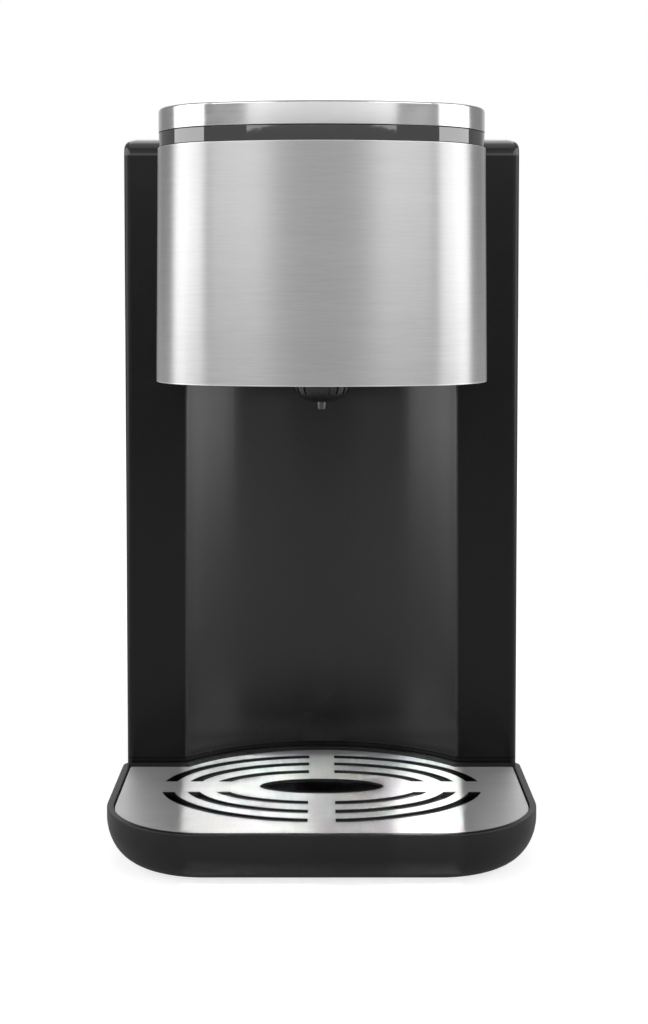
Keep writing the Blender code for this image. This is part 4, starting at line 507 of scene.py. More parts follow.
BLACK = Moulded("black_plastic", (0.0044, 0.0044, 0.0046), 0.25, specular=0.33)
DOME_BLACK = Moulded("black_plastic", (0.0210, 0.0210, 0.0215), 0.34, specular=0.62)
PANEL_BLACK = Moulded(
    "black_plastic", BLACK.colour, 0.25, specular=0.33, lacquer=(0.0600, -0.0479, -0.0205, 0.2868)
)
BLACK_TRAY = Moulded("black_plastic", (0.0085, 0.0085, 0.0088), 0.34, 2300.0, specular=0.44)
INNER_BLACK = Moulded("inner_plastic", (0.028, 0.028, 0.030), 0.52, 1500.0, 0.00003)
PUMP_BLACK = Moulded("inner_plastic", (0.035, 0.035, 0.040), 0.45, 1900.0)
GLOSS_BLACK = Glossy("gloss_black", (0.010, 0.010, 0.011))
RING_BLACK = Glossy("gloss_black", (0.004, 0.004, 0.0045), 0.012, 2.5)
WINDOW_BLACK = Glossy("gloss_black", (0.004, 0.004, 0.005), 0.04)
# Painted highlight: the band's colour is lightened on its bottom and top lips, standing for the bright lines on its
# edges.
BAND_STEEL = Brushed(
    "brushed_steel", (0.70, 0.70, 0.70), Axis.Z, 0.446, 0.08, 0.92,
    painted_highlight_and_shade=((0.1900, 0.1908, 1.7), (0.2861, 0.2870, 1.6)),
)
# Painted shade: the plate's colour is darkened below its top face, so that its slot walls look shadowed black.
PLATE_STEEL = Brushed(
    "brushed_steel", (0.52, 0.52, 0.52), Axis.X, 0.46, 0.10, 0.95, painted_highlight_and_shade=((0.0100, 0.01975, 0.04),)
)
CAP_STEEL = Polished("polished_steel", (0.72, 0.72, 0.72), 0.13)
NOZZLE_STEEL = Polished("polished_steel", (0.13, 0.13, 0.133), 0.28)
SWITCH_STEEL = Polished("polished_steel", (0.70, 0.69, 0.66), 0.20)
ZINC = Plated("zinc_steel", (0.56, 0.56, 0.55))
SHEET_STEEL = Plated("zinc_steel", (0.50, 0.51, 0.52), 120.0, 0.42)
HEATER_STEEL = Brushed("zinc_steel", (0.58, 0.57, 0.55), Axis.Z, 0.30)
RUBBER = Rubbery("rubber", (0.018, 0.018, 0.018))
SILICONE = Rubbery("silicone", (0.60, 0.59, 0.56), 0.42, 0.4)
LOOM_SLEEVE = Rubbery("rubber", (0.022, 0.022, 0.024), 0.6)
SMOKED = Clear("smoked_clear", (0.42, 0.44, 0.46))
WHITE = Moulded("white_plastic", (0.62, 0.62, 0.60), 0.38, 1700.0)
CERAMIC = Moulded("white_plastic", (0.70, 0.69, 0.66), 0.30, 2600.0)
BUTTON = Moulded("button_grey", (0.060, 0.060, 0.064), 0.36, 3000.0)
PRINT = Moulded("white_plastic", (0.66, 0.66, 0.66), 0.42, 3400.0)
BOARD_FLAT = Circuit("circuit_board", (0.010, 0.085, 0.035), (Axis.X, Axis.Y))
BOARD_UPRIGHT = Circuit("circuit_board", (0.010, 0.085, 0.035), (Axis.X, Axis.Z))

FINISH_NODES: dict[Finish, str] = {
    BLACK: "base_housing front_panel rear_housing spout_dome tank_lid",
    INNER_BLACK: "base_plate head_housing",
    BLACK_TRAY: "drip_tray",
    GLOSS_BLACK: "cap_carrier control_panel",
    WINDOW_BLACK: "display_window",
    PUMP_BLACK: "pump",
    BAND_STEEL: "head_band",
    PLATE_STEEL: "drip_grille",
    CAP_STEEL: "control_cap",
    NOZZLE_STEEL: "spout_nozzle",
    SWITCH_STEEL: "thermostat",
    ZINC: "base_screw_front_left base_screw_front_right base_screw_rear_left base_screw_rear_right board_screw_left "
          "board_screw_right frame_screw_left frame_screw_right lid_pin valve_spring heater_clamp_lower "
          "heater_clamp_upper",
    SHEET_STEEL: "inner_frame pump_bracket",
    HEATER_STEEL: "heater",
    RUBBER: "foot_front_left foot_front_right foot_rear_left foot_rear_right cord_gland valve_seal dock_seal",
    LOOM_SLEEVE: "wiring_loom",
    SILICONE: "inlet_hose pump_hose outlet_hose",
    SMOKED: "water_tank",
    WHITE: "steam_chamber valve_cage valve_plunger tank_dock",
    CERAMIC: "thermal_fuse",
    BOARD_FLAT: "control_board",
    BOARD_UPRIGHT: "power_board",
    BUTTON: "button_dispense button_volume_down button_volume_up button_temperature_down button_temperature_up",
}
CAD_FINISHES = {node: finish for finish, nodes in FINISH_NODES.items() for node in nodes.split()}
BODY_OF = {node: body for body, nodes in frame["record"]["behaviour"]["bodies"].items() for node in nodes}
MADE: dict[Finish, bpy.types.Material] = {}


def finish_material(finish: Finish) -> bpy.types.Material:
    """The one material of a finish, which is made when it is first asked for.

    Args:
        finish: the finish.

    Returns:
        Its material.
    """
    if finish not in MADE:
        MADE[finish] = finish.material(f"{finish.slot}_{len(MADE)}")
    return MADE[finish]


def dress_frame() -> None:
    """Gives every CAD node its own finish's material."""
    for name, finish in CAD_FINISHES.items():
        materials = frame["nodes"][name].data.materials
        materials.clear()
        materials.append(finish_material(finish))


# Shapes


def arc(centre: Pair, radius: float, start: float, end: float, steps: int) -> Plan:
    """Points on a circle from one angle to another, both ends included.

    Args:
        centre: the circle's centre.
        radius: its radius.
        start: the first angle, in radians.
        end: the last angle, in radians.
        steps: the number of steps between them.

    Returns:
        The points.
    """
    turns = [start + (end - start) * i / steps for i in range(steps + 1)]
    return [(centre[0] + radius * math.cos(a), centre[1] + radius * math.sin(a)) for a in turns]


def rounded_box(
    left: float, right: float, front: float, back: float, near: float, far: float, steps: int = 8
) -> Plan:
    """A rectangle with one radius at its front corners and one at its back corners.

    Args:
        left: the lowest X.
        right: the highest X.
        front: the lowest Y.
        back: the highest Y.
        near: the radius of the front corners.
        far: the radius of the back corners.
        steps: the steps in each corner.

    Returns:
        The outline, anticlockwise.
    """
    near, far = max(near, TINY), max(far, TINY)
    return (
        arc((left + near, front + near), near, 2 * QUARTER, 3 * QUARTER, steps)
        + arc((right - near, front + near), near, 3 * QUARTER, 4 * QUARTER, steps)
        + arc((right - far, back - far), far, 0, QUARTER, steps)
        + arc((left + far, back - far), far, QUARTER, 2 * QUARTER, steps)
    )


def centred_box(centre: Pair, width: float, depth: float, radius: float, steps: int = 6) -> Plan:
    """A rounded rectangle round a point.

    Args:
        centre: its middle.
        width: its size along X.
        depth: its size along Y.
        radius: its corner radius.
        steps: the steps in each corner.

    Returns:
        The outline.
    """
    x, y = centre
    return rounded_box(x - width / 2, x + width / 2, y - depth / 2, y + depth / 2, radius, radius, steps)


def level(plan: Plan, height: float) -> list[Point]:
    """An outline put at a height."""
    return [(x, y, height) for x, y in plan]


def placed(name: str, data: bpy.types.ID) -> Piece:
    """Puts a new object into the scene.

    Args:
        name: its name.
        data: its mesh, light or camera.

    Returns:
        The object.
    """
    made = bpy.data.objects.new(name, data)
    bpy.context.scene.collection.objects.link(made)
    return made


def smooth(mesh: bpy.types.Mesh) -> None:
    """Shades a mesh smooth between its sharp edges."""
    mesh.shade_smooth()
    mesh.set_sharp_from_angle(angle=SHARP)


def piece_from(name: str, bm: bmesh.types.BMesh) -> Piece:
    """Turns a finished bmesh into an object with its faces pointing out.

    Args:
        name: the object's name.
        bm: the mesh, which is freed.

    Returns:
        The object.
    """
    bmesh.ops.recalc_face_normals(bm, faces=bm.faces)
    mesh = bpy.data.meshes.new(name)
    bm.to_mesh(mesh)
    bm.free()
    smooth(mesh)
    return placed(name, mesh)


def loft(name: str, rings: Sequence[Sequence[Point]]) -> Piece:
    """Skins rings of equally many points, and caps the first and the last.

    Args:
        name: the object's name.
        rings: the rings, in order.

    Returns:
        The object.
    """
    bm = bmesh.new()
    rows = [[bm.verts.new(point) for point in ring] for ring in rings]
    for lower, upper in zip(rows, rows[1:]):
        for i in range(len(lower)):
            bm.faces.new((lower[i - 1], lower[i], upper[i], upper[i - 1]))
    bm.faces.new(rows[0])
    bm.faces.new(rows[-1])
    return piece_from(name, bm)


def prism(name: str, plan: Plan, low: float, high: float) -> Piece:
    """An outline raised between two heights."""
    return loft(name, [level(plan, low), level(plan, high)])


def block(name: str, low: Point, high: Point) -> Piece:
    """A plain block between two corners, for cuts."""
    corners = [(low[0], low[1]), (high[0], low[1]), (high[0], high[1]), (low[0], high[1])]
    return prism(name, corners, low[2], high[2])


def roll(across: float, along: float, steps: int) -> Plan:
    """The steps of an edge that is rolled over as a quarter ellipse.

    Args:
        across: how far it draws in.
        along: how far it reaches from the end face.
        steps: the number of steps.

    Returns:
        How far each step has drawn in and how far it is from the end face, from the side to the end face.
    """
    turns = [QUARTER * i / steps for i in range(steps + 1)]
    return [(across * (1 - math.cos(turn)), along * (1 - math.sin(turn))) for turn in turns]


def rolled(
    name: str, plan_at: Callable[[float], Plan], low: float, high: float, top: Pair = (TINY, TINY),
    bottom: Pair = (TINY, TINY), steps: int = 4,
) -> Piece:
    """A prism whose top and bottom edges are rolled over as quarter ellipses.

    Args:
        name: the object's name.
        plan_at: gives the outline for an inset.
        low: the bottom.
        high: the top.
        top: how far the top edge rolls across and down.
        bottom: how far the bottom edge rolls across and up.
        steps: the steps in each edge.

    Returns:
        The object.
    """
    rings = [level(plan_at(inset), low + up) for inset, up in reversed(roll(*bottom, steps))]
    rings += [level(plan_at(inset), high - down) for inset, down in roll(*top, steps)]
    return loft(name, rings)


def turned(name: str, centre: Point, profile: Sequence[Pair], steps: int = 64) -> Piece:
    """Spins a (radius, height) profile round an upright line through a point.

    Args:
        name: the object's name.
        centre: the point.
        profile: the profile, closed by the axis or by itself.
        steps: the steps in a full turn.

    Returns:
        The object.
    """
    bm = bmesh.new()
    points = [bm.verts.new((radius, 0, height)) for radius, height in profile]
    edges = [bm.edges.new(pair) for pair in zip(points, points[1:])]
    if profile[0][0] and profile[-1][0]:
        edges.append(bm.edges.new((points[-1], points[0])))
    around = {"cent": (0, 0, 0), "axis": (0, 0, 1), "angle": 4 * QUARTER}
    bmesh.ops.spin(bm, geom=points + edges, steps=steps, use_merge=True, **around)
    bmesh.ops.remove_doubles(bm, verts=bm.verts, dist=WELD)
    bm.transform(Matrix.Translation(centre))
    return piece_from(name, bm)


def bake(piece: Piece) -> Piece:
    """Applies every modifier, so that the piece is a plain mesh.

    Args:
        piece: the object.

    Returns:
        The same object.
    """
    graph = bpy.context.evaluated_depsgraph_get()
    graph.update()
    evaluated = piece.evaluated_get(graph)
    mesh = bpy.data.meshes.new_from_object(evaluated, preserve_all_data_layers=True, depsgraph=graph)
    piece.modifiers.clear()
    piece.data = mesh
    return piece


def carve(target: Piece, *tools: Piece, operation: str = "DIFFERENCE") -> Piece:
    """Cuts tools from a piece, or joins them to it, and removes the tools.

    Args:
        target: the piece.
        tools: the tools.
        operation: the Boolean operation.

    Returns:
        The piece.
    """
    for tool in tools:
        step = target.modifiers.new(tool.name, "BOOLEAN")
        step.operation = operation
        step.solver = "EXACT"
        step.object = tool
    bake(target)
    for tool in tools:
        bpy.data.objects.remove(tool)
    return target


def soften(target: Piece, edge: float) -> Piece:
    """Rounds a piece's sharp edges and smooths its faces by their size.

    Args:
        target: the piece.
        edge: the width of the rounding, or 0 for none.

    Returns:
        The piece.
    """
    smooth(target.data)
    if edge:
        bevel = target.modifiers.new("edge", "BEVEL")
        bevel.width = edge
        bevel.segments = 2
        bevel.limit_method = "ANGLE"
        bevel.angle_limit = SHARP
        bevel.harden_normals = True
    weighted = target.modifiers.new("faces", "WEIGHTED_NORMAL")
    weighted.keep_sharp = True
    return bake(target)


def mount(piece: Piece, finish: Finish, body: str, *nodes: str) -> None:
    """Dresses a finished piece, lets it ride on a body and lets it stand for CAD nodes.

    Args:
        piece: the piece.
        finish: its finish.
        body: the body that it rides on.
        nodes: the CAD nodes that it replaces.
    """
    piece.data.materials.clear()
    piece.data.materials.append(finish_material(finish))
    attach(piece, body)
    if nodes:
        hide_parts(*nodes)
    LOG.info("%s rides on %s with %d faces", piece.name, body, len(piece.data.polygons))


def refine(edge: float, *nodes: str) -> None:
    """Puts finer copies in the place of CAD nodes: merged, smooth on round faces, with eased edges.

    Args:
        edge: the width of the eased edges.
        nodes: the nodes' names.
    """
    for node in nodes:
        bm = bmesh.new()
        bm.from_mesh(frame["nodes"][node].data)
        bmesh.ops.remove_doubles(bm, verts=bm.verts, dist=WELD)
        bmesh.ops.dissolve_limit(bm, angle_limit=math.radians(0.3), verts=bm.verts, edges=bm.edges)
        mount(soften(piece_from(f"{node}_fine", bm), edge), CAD_FINISHES[node], BODY_OF[node], node)


# Patterns that repeat or follow a path


class Pattern(Tree):
    """A Geometry Nodes tree with named inputs, which ends in Realize Instances and Set Material."""

    def __init__(self, name: str, **inputs: str) -> None:
        """Starts the tree.

        Args:
            name: the tree's name.
            inputs: the kind of each named input, with spaces written as underscores.
        """
        super().__init__(bpy.data.node_groups.new(name, "GeometryNodeTree"))
        self.sockets: dict[str, str] = {}
        sides = self.tree.interface
        sides.new_socket("Geometry", in_out="INPUT", socket_type="NodeSocketGeometry")
        for label, kind in {**inputs, "Finish": "Material"}.items():
            socket = sides.new_socket(label.replace("_", " "), in_out="INPUT", socket_type=f"NodeSocket{kind}")
            self.sockets[label] = socket.identifier
        sides.new_socket("Geometry", in_out="OUTPUT", socket_type="NodeSocketGeometry")
        self.entry = self.tree.nodes.new("NodeGroupInput")

    def given(self, label: str) -> Signal:
        """The value of a named input."""
        return Signal(self, self.entry.outputs[label])

    def sample(self) -> Signal:
        """The piece that the Sample input names, as an instance."""
        values = {0: self.given("Sample"), "As Instance": True}
        return self.node("GeometryNodeObjectInfo", values, "Geometry")

    def closed(self, skin: Signal, walls: Signal) -> Signal:
        """Closes a sheet and what was extruded from it into one shell.

        Args:
            skin: the sheet.
            walls: the extruded faces.

        Returns:
            The shell.
        """
        joined = self.node("GeometryNodeJoinGeometry", {0: walls})
        self.plug(joined.socket.node, 0, skin)
        return self.node("GeometryNodeMergeByDistance", {0: joined, "Distance": WELD})

    def finish(self, geometry: Signal) -> "Pattern":
        """Ends the tree.

        Args:
            geometry: what the tree has made.

        Returns:
            The pattern.
        """
        real = self.node("GeometryNodeRealizeInstances", {0: geometry})
        dressed = self.node("GeometryNodeSetMaterial", {0: real, "Material": self.given("Finish")})
        self.plug(self.tree.nodes.new("NodeGroupOutput"), 0, dressed)
        return self

    def make(
        self, name: str, finish: Finish, places: Sequence[Point] = ((0.0, 0.0, 0.0),), **values: object
    ) -> Piece:
        """Runs the tree on a set of points and bakes the result.

        Args:
            name: the new piece's name.
            finish: the piece's finish.
            places: the points that the tree starts from.
            values: the named inputs, with spaces written as underscores.

        Returns:
            The baked piece.
        """
        mesh = bpy.data.meshes.new(name)
        mesh.from_pydata([tuple(p) for p in places], [(i, i + 1) for i in range(len(places) - 1)], [])
        made = placed(name, mesh)
        modifier = made.modifiers.new(name, "NODES")
        modifier.node_group = self.tree
        for label, value in {**values, "Finish": finish_material(finish)}.items():
            modifier[self.sockets[label]] = value
        bake(made)
        bm = bmesh.new()
        bm.from_mesh(made.data)
        bmesh.ops.recalc_face_normals(bm, faces=bm.faces)
        bm.to_mesh(made.data)
        bm.free()
        smooth(made.data)
        return made


def copies_pattern() -> Pattern:
    """Copies a sample piece to every given point: screws and feet.

    Returns:
        The pattern.
    """
    pattern = Pattern("copies", Sample="Object")
    points = pattern.node("GeometryNodeMeshToPoints", {0: pattern.given("Geometry")})
    values = {0: points, "Instance": pattern.sample()}
    return pattern.finish(pattern.node("GeometryNodeInstanceOnPoints", values))


def round_pattern() -> Pattern:
    """Copies a sample piece at equal angles round the Z axis: the dome's flutes.

    Returns:
        The pattern.
    """
    pattern = Pattern("round", Sample="Object", Count="Int", Start="Float", Pitch="Float")
    line = pattern.node("GeometryNodeMeshLine", {"Count": pattern.given("Count"), "Offset": (0, 0, 0)})
    index = pattern.node("GeometryNodeInputIndex", {})
    angle = index.maths("MULTIPLY_ADD", pattern.given("Pitch"), pattern.given("Start"))
    turn = pattern.node("ShaderNodeCombineXYZ", {2: angle})
    values = {0: line, "Instance": pattern.sample(), "Rotation": turn}
    return pattern.finish(pattern.node("GeometryNodeInstanceOnPoints", values))


def hose_pattern() -> Pattern:
    """A tube with an open bore along the given points, with every corner bent to one radius.

    Returns:
        The pattern.
    """
    pattern = Pattern("hose", Radius="Float", Wall="Float", Bend="Float")
    line = pattern.node("GeometryNodeMeshToCurve", {0: pattern.given("Geometry")})
    corners = {0: line, "Radius": pattern.given("Bend"), "Count": 10, "Limit Radius": True}
    bent = pattern.node("GeometryNodeFilletCurve", corners, mode="POLY")
    ring = pattern.node("GeometryNodeCurvePrimitiveCircle", {"Resolution": 24, "Radius": pattern.given("Radius")})
    outer = pattern.node("GeometryNodeCurveToMesh", {0: bent, 1: ring, "Fill Caps": False})
    inward = {0: outer, "Offset Scale": pattern.given("Wall") * -1.0, "Individual": False}
    return pattern.finish(pattern.closed(outer, pattern.node("GeometryNodeExtrudeMesh", inward)))


def coil_pattern() -> Pattern:
    """A wire wound round the Z axis: the valve's spring.

    Returns:
        The pattern.
    """
    pattern = Pattern("coil", Turns="Float", Height="Float", Radius="Float", Wire="Float")
    given = pattern.given
    helix = pattern.node("GeometryNodeCurveSpiral", {
        "Resolution": 28, "Rotations": given("Turns"), "Start Radius": given("Radius"),
        "End Radius": given("Radius"), "Height": given("Height"),
    })
    ring = pattern.node("GeometryNodeCurvePrimitiveCircle", {"Resolution": 12, "Radius": given("Wire")})
    return pattern.finish(pattern.node("GeometryNodeCurveToMesh", {0: helix, 1: ring, "Fill Caps": True}))


def slot_pattern() -> Pattern:
    """A cutter for a quarter of an oval slot, whose ends follow the two cross bars.

    Returns:
        The pattern.
    """
    numbers = ("Wide", "Deep", "Slot", "Side", "Fore", "Bar_Across", "Bar_Along", "Height")
    pattern = Pattern("slot", **dict.fromkeys(numbers, "Float"), Centre="Vector")
    given = pattern.given
    grid = pattern.node("GeometryNodeMeshGrid", {"Size X": 1.0, "Size Y": 1.0, "Vertices X": 33, "Vertices Y": 2})
    x, y, _ = pattern.split(pattern.node("GeometryNodeInputPosition", {}))
    inward = (y + 0.5) * given("Slot")
    wide, deep = given("Wide") - inward, given("Deep") - inward
    first = (given("Bar Along") * 0.5 / deep).maths("ARCSINE")
    last = (given("Bar Across") * 0.5 / wide).maths("ARCCOSINE")
    turn = (x + 0.5).maths("MULTIPLY_ADD", last - first, first)
    place = pattern.node("ShaderNodeCombineXYZ", {
        0: turn.maths("COSINE") * wide * given("Side"), 1: turn.maths("SINE") * deep * given("Fore"),
    })
    under = pattern.node("GeometryNodeSetPosition", {0: grid, "Position": place, "Offset": given("Centre")})
    up = pattern.node("ShaderNodeCombineXYZ", {2: 1.0})
    raised = {0: under, "Offset": up, "Offset Scale": given("Height"), "Individual": False}
    return pattern.finish(pattern.closed(under, pattern.node("GeometryNodeExtrudeMesh", raised)))


# Sub-assemblies


@dataclass(frozen=True)
class HeadPlan:
    """The head seen from above: a bowed front, round corners and a tail in the column."""

    half: float = 0.0678
    front: float = -0.130
    tail: float = 0.0
    corner: float = 0.0375
    shoulder: float = 0.0425
    tail_corner: float = 0.016

    def front_line(self, inset: float) -> Plan:
        """The curved front from left to right.

        Args:
            inset: how far inside the outline it runs.

        Returns:
            The line.
        """
        across = self.half - self.corner
        bow = (across**2 + self.shoulder**2 - self.corner**2) / (2 * (self.shoulder - self.corner))
        turn = math.atan2(self.shoulder - bow, across)
        y = self.front + self.shoulder
        corner = self.corner - inset
        return (
            arc((-across, y), corner, -math.pi, -math.pi - turn, 24)[:-1]
            + arc((0, self.front + bow), bow - inset, -math.pi - turn, turn, 32)
            + arc((across, y), corner, turn, 0, 24)[1:]
        )

    def outline(self, inset: float) -> Plan:
        """The whole head with its tail.

        Args:
            inset: how far inside the outline it runs.

        Returns:
            The outline.
        """
        half, back, tail = self.half - inset, self.tail - inset, self.tail_corner - inset
        return (
            self.front_line(inset)
            + arc((half - tail, back - tail), tail, 0, QUARTER, 12)
            + arc((tail - half, back - tail), tail, QUARTER, 2 * QUARTER, 12)
        )


@dataclass(frozen=True)
class RecessPlan:
    """The cup recess seen from above."""

    face: float = -0.048
    half: float = 0.0595
    depth: float = 0.0263
    lip: float = 0.003

    @property
    def radius(self) -> float:
        """The radius of the recess."""
        return (self.half**2 + self.depth**2) / (2 * self.depth)

    @property
    def middle(self) -> float:
        """The Y of the recess's centre."""
        return self.face + self.depth - self.radius

    def outline(self, offset: float) -> Plan:
        """What the recess takes away, with its rounded lips.

        Args:
            offset: how much larger it is all round.

        Returns:
            The outline.
        """
        face, lip, radius = self.face + offset, max(self.lip - offset, 2 * TINY), self.radius + offset
        across = math.sqrt((radius + lip) ** 2 - (face + lip - self.middle) ** 2)
        lean = math.atan2(face + lip - self.middle, across)
        before = min(face, self.face) - CUT
        right = arc((across, face + lip), lip, -QUARTER, lean - 2 * QUARTER, 8)
        back = arc((0, self.middle), radius, lean, 2 * QUARTER - lean, 64)
        return [(-across, before), (across, before)] + right + back[1:-1] + [(-x, y) for x, y in reversed(right)]


HEAD = HeadPlan()
RECESS = RecessPlan()


@dataclass(frozen=True)
class Column:
    """The front panel with its wings and recess, and the rear housing behind the seam.

    The lintel is how far the recess's wall runs up behind the head, and around is past everything in the column.
    """

    half: float = 0.08535
    flare: float = 0.0017
    low: float = 0.0230
    high: float = 0.2947
    front: float = -0.048
    seam: float = -0.032
    back: float = 0.072
    fillet: float = 0.003
    top_corner: float = 0.0045
    top_roll: float = 0.008
    back_edge: float = 0.001
    wall: float = 0.0025
    head_low: float = 0.1904
    lintel: float = 0.001
    slot_half: float = 0.0681
    eased: float = 0.00025
    around: Point = (0.1, 0.1, 0.3)

    def shell(self, name: str, front: float, back: float, fillets: Pair, inset: float = 0.0) -> Piece:
        """A stretch of the column with its flare and its rounded top.

        Args:
            name: the object's name.
            front: the lowest Y.
            back: the highest Y.
            fillets: the radii of the front and back corners.
            inset: how far inside the outer skin it lies.

        Returns:
            The object.
        """
        top = self.high - inset
        low = self.low - (CUT if inset else 0.0)
        edges = ((self.top_roll, 10), (self.top_corner, 8))
        drops = {down for radius, steps in edges for _, down in roll(radius, radius, steps)}
        drops |= {self.back_edge * i / 3 for i in range(4)}
        rings = []
        for height in [low, *(top - drop for drop in sorted(drops, reverse=True))]:
            down, share = top - height, (height - self.low) / (top - self.low)
            half = self.half + self.flare * share - inset - self.rolled_in(self.top_corner, down)
            ahead = self.rolled_in(self.top_roll, down) if front == self.front + inset else 0.0
            behind = self.rolled_in(self.back_edge, down) if back == self.back - inset else 0.0
            rings.append(level(rounded_box(-half, half, front + ahead, back - behind, *fillets), height))
        return loft(name, rings)

    def rolled_in(self, radius: float, down: float) -> float:
        """How far a rounded edge has drawn in at a distance below its top."""
        return radius - math.sqrt(max(radius**2 - (radius - down) ** 2, 0.0)) if down < radius else 0.0

    def slot(self, wall: float) -> Piece:
        """The space between the wings that takes the head.

        Args:
            wall: how much wider and lower it is.

        Returns:
            The cutter.
        """
        half = self.slot_half + wall
        low = (-half, self.front - CUT, self.head_low - wall)
        return block("slot", low, (half, self.seam + 2 * CUT, self.high + CUT))

    def panel(self) -> None:
        """Builds the front panel."""
        x, y, z = self.around
        bulge = prism("bulge", RECESS.outline(self.wall), self.low, self.head_low - GAP)
        carve(bulge, block("before", (-x, -y, 0.0), (x, self.seam - self.wall, z)))
        inner = (self.fillet - self.wall, TINY)
        hollow = self.shell("hollow", self.front + self.wall, self.seam + CUT, inner, self.wall)
        wall = prism("recess_wall", RECESS.outline(self.wall), 0.0, self.head_low + self.lintel)
        carve(hollow, self.slot(self.wall), wall)
        panel = self.shell("column_front", self.front, self.seam, (self.fillet, TINY))
        carve(panel, bulge, operation="UNION")
        carve(panel, hollow, self.slot(0.0), prism("recess", RECESS.outline(0.0), 0.0, self.head_low + CUT))
        mount(soften(panel, self.eased), PANEL_BLACK, "body", "front_panel")

    def housing(self) -> None:
        """Builds the rear housing."""
        start, inner = self.seam + GAP, (TINY, self.fillet - self.wall)
        rear = self.shell("column_rear", start, self.back, (TINY, self.fillet))
        inside = self.shell("inside", start - CUT, self.back - self.wall, inner, self.wall)
        pocket = prism("pocket", HEAD.outline(-2 * GAP), self.high - 2 * self.wall, self.high + CUT)
        carve(rear, inside, pocket)
        mount(soften(rear, self.eased), PANEL_BLACK, "body", "rear_housing")

    def build(self) -> None:
        """Builds both shells."""
        self.panel()
        self.housing()


@dataclass(frozen=True)
class Head:
    """The steel band, the dark ring in the gap and the metal cap.

    A lip is a height and how much the sheet's faces are drawn in there, a post is its two radii, and the
    wire hole and the posts' places are half a width and two values of Y.
    """

    low: float = 0.1904
    band_top: float = 0.2864
    ring_top: float = 0.2924
    cap_low: float = 0.2927
    cap_top: float = 0.3023
    back: float = -0.0483
    sheet: float = 0.0008
    flare: float = 0.0005
    lips: tuple[Pair, ...] = ((0.0, 0.00022), (0.00008, 0.00009), (0.00030, 0.0))
    ring_inset: float = 0.0005
    ring_foot: float = 0.0016
    ring_eased: float = 0.00008
    deck: float = 0.002
    well: float = 0.004
    wire_hole: Point = (0.012, -0.018, -0.010)
    post: Pair = (0.0018, 0.0026)
    post_top: float = 0.29265
    posts: Point = (0.042, -0.092, -0.038)
    cap_inset: float = 0.0004
    cap_edge: float = 0.0012
    cap_foot: float = 0.0002
    cap_wall: float = 0.0026
    cap_deck: float = 0.0034
    cap_eased: float = 0.0001
    border: float = 0.009
    ledge: float = 0.0025
    seat: float = 0.0023

    def sleeve(self, inset: float, lip: float) -> Plan:
        """The band's section in plan.

        Args:
            inset: how far in the whole sheet lies.
            lip: how much each of its faces is drawn in.

        Returns:
            The outline.
        """
        outer = HEAD.front_line(inset + lip)
        inner = HEAD.front_line(inset + self.sheet - lip)[::-1]
        ends = [(line[end][0], self.back) for line, end in ((outer, -1), (inner, 0), (inner, -1), (outer, 0))]
        return outer + ends[:2] + inner + ends[2:]

    def band(self) -> None:
        """Builds the brushed band with its rolled lips."""
        levels = [(self.low + up, lip) for up, lip in self.lips]
        levels += [(self.band_top - up, lip) for up, lip in reversed(self.lips)]
        rings = []
        for height, lip in levels:
            grown = self.flare * (self.band_top - height) / (self.band_top - self.low)
            rings.append(level(self.sleeve(-grown, lip), height))
        mount(loft("steel_band", rings), BAND_STEEL, "body", "head_band")

    def ring(self) -> None:
        """Builds the dark gloss ring that carries the cap and the control board."""
        low, deck = self.band_top, self.band_top + self.deck
        ring = rolled("gap_ring", lambda edge: HEAD.outline(self.ring_inset + edge), low + GAP, self.ring_top)
        carve(ring, prism("ring_foot", HEAD.outline(self.ring_foot), low, deck), operation="UNION")
        well = prism("well", HEAD.outline(self.well), deck, self.ring_top + CUT)
        half, near, far = self.wire_hole
        carve(ring, well, block("wire_hole", (-half, near, low - CUT), (half, far, deck + CUT)))
        (inner, outer), foot = self.post, low + self.deck / 2
        profile = [(inner, foot), (outer, foot), (outer, self.post_top), (inner, self.post_top)]
        half, near, far = self.posts
        posts = [turned("post", (x, y, 0), profile, steps=32) for x in (-half, half) for y in (near, far)]
        carve(ring, *posts, operation="UNION")
        mount(soften(ring, self.ring_eased), RING_BLACK, "body", "cap_carrier")

    def cap(self) -> None:
        """Builds the metal cap with the seat for its control panel."""
        edge, foot = (self.cap_edge, self.cap_edge), (self.cap_foot, self.cap_foot)
        low, high = self.cap_low - CUT, self.cap_top + CUT
        cap = rolled(
            "metal_cap", lambda inset: HEAD.outline(self.cap_inset + inset), self.cap_low, self.cap_top, edge, foot,
            steps=6,
        )
        under = prism("under", HEAD.outline(self.cap_wall), low, self.cap_top - self.cap_deck)
        seat = prism("seat", HEAD.outline(self.border), self.cap_top - self.seat, high)
        carve(cap, under, seat, prism("window", HEAD.outline(self.border + self.ledge), low, high))
        mount(soften(cap, self.cap_eased), CAP_STEEL, "body", "control_cap")

    def build(self) -> None:
        """Builds the whole head."""
        self.band()
        self.ring()
        self.cap()


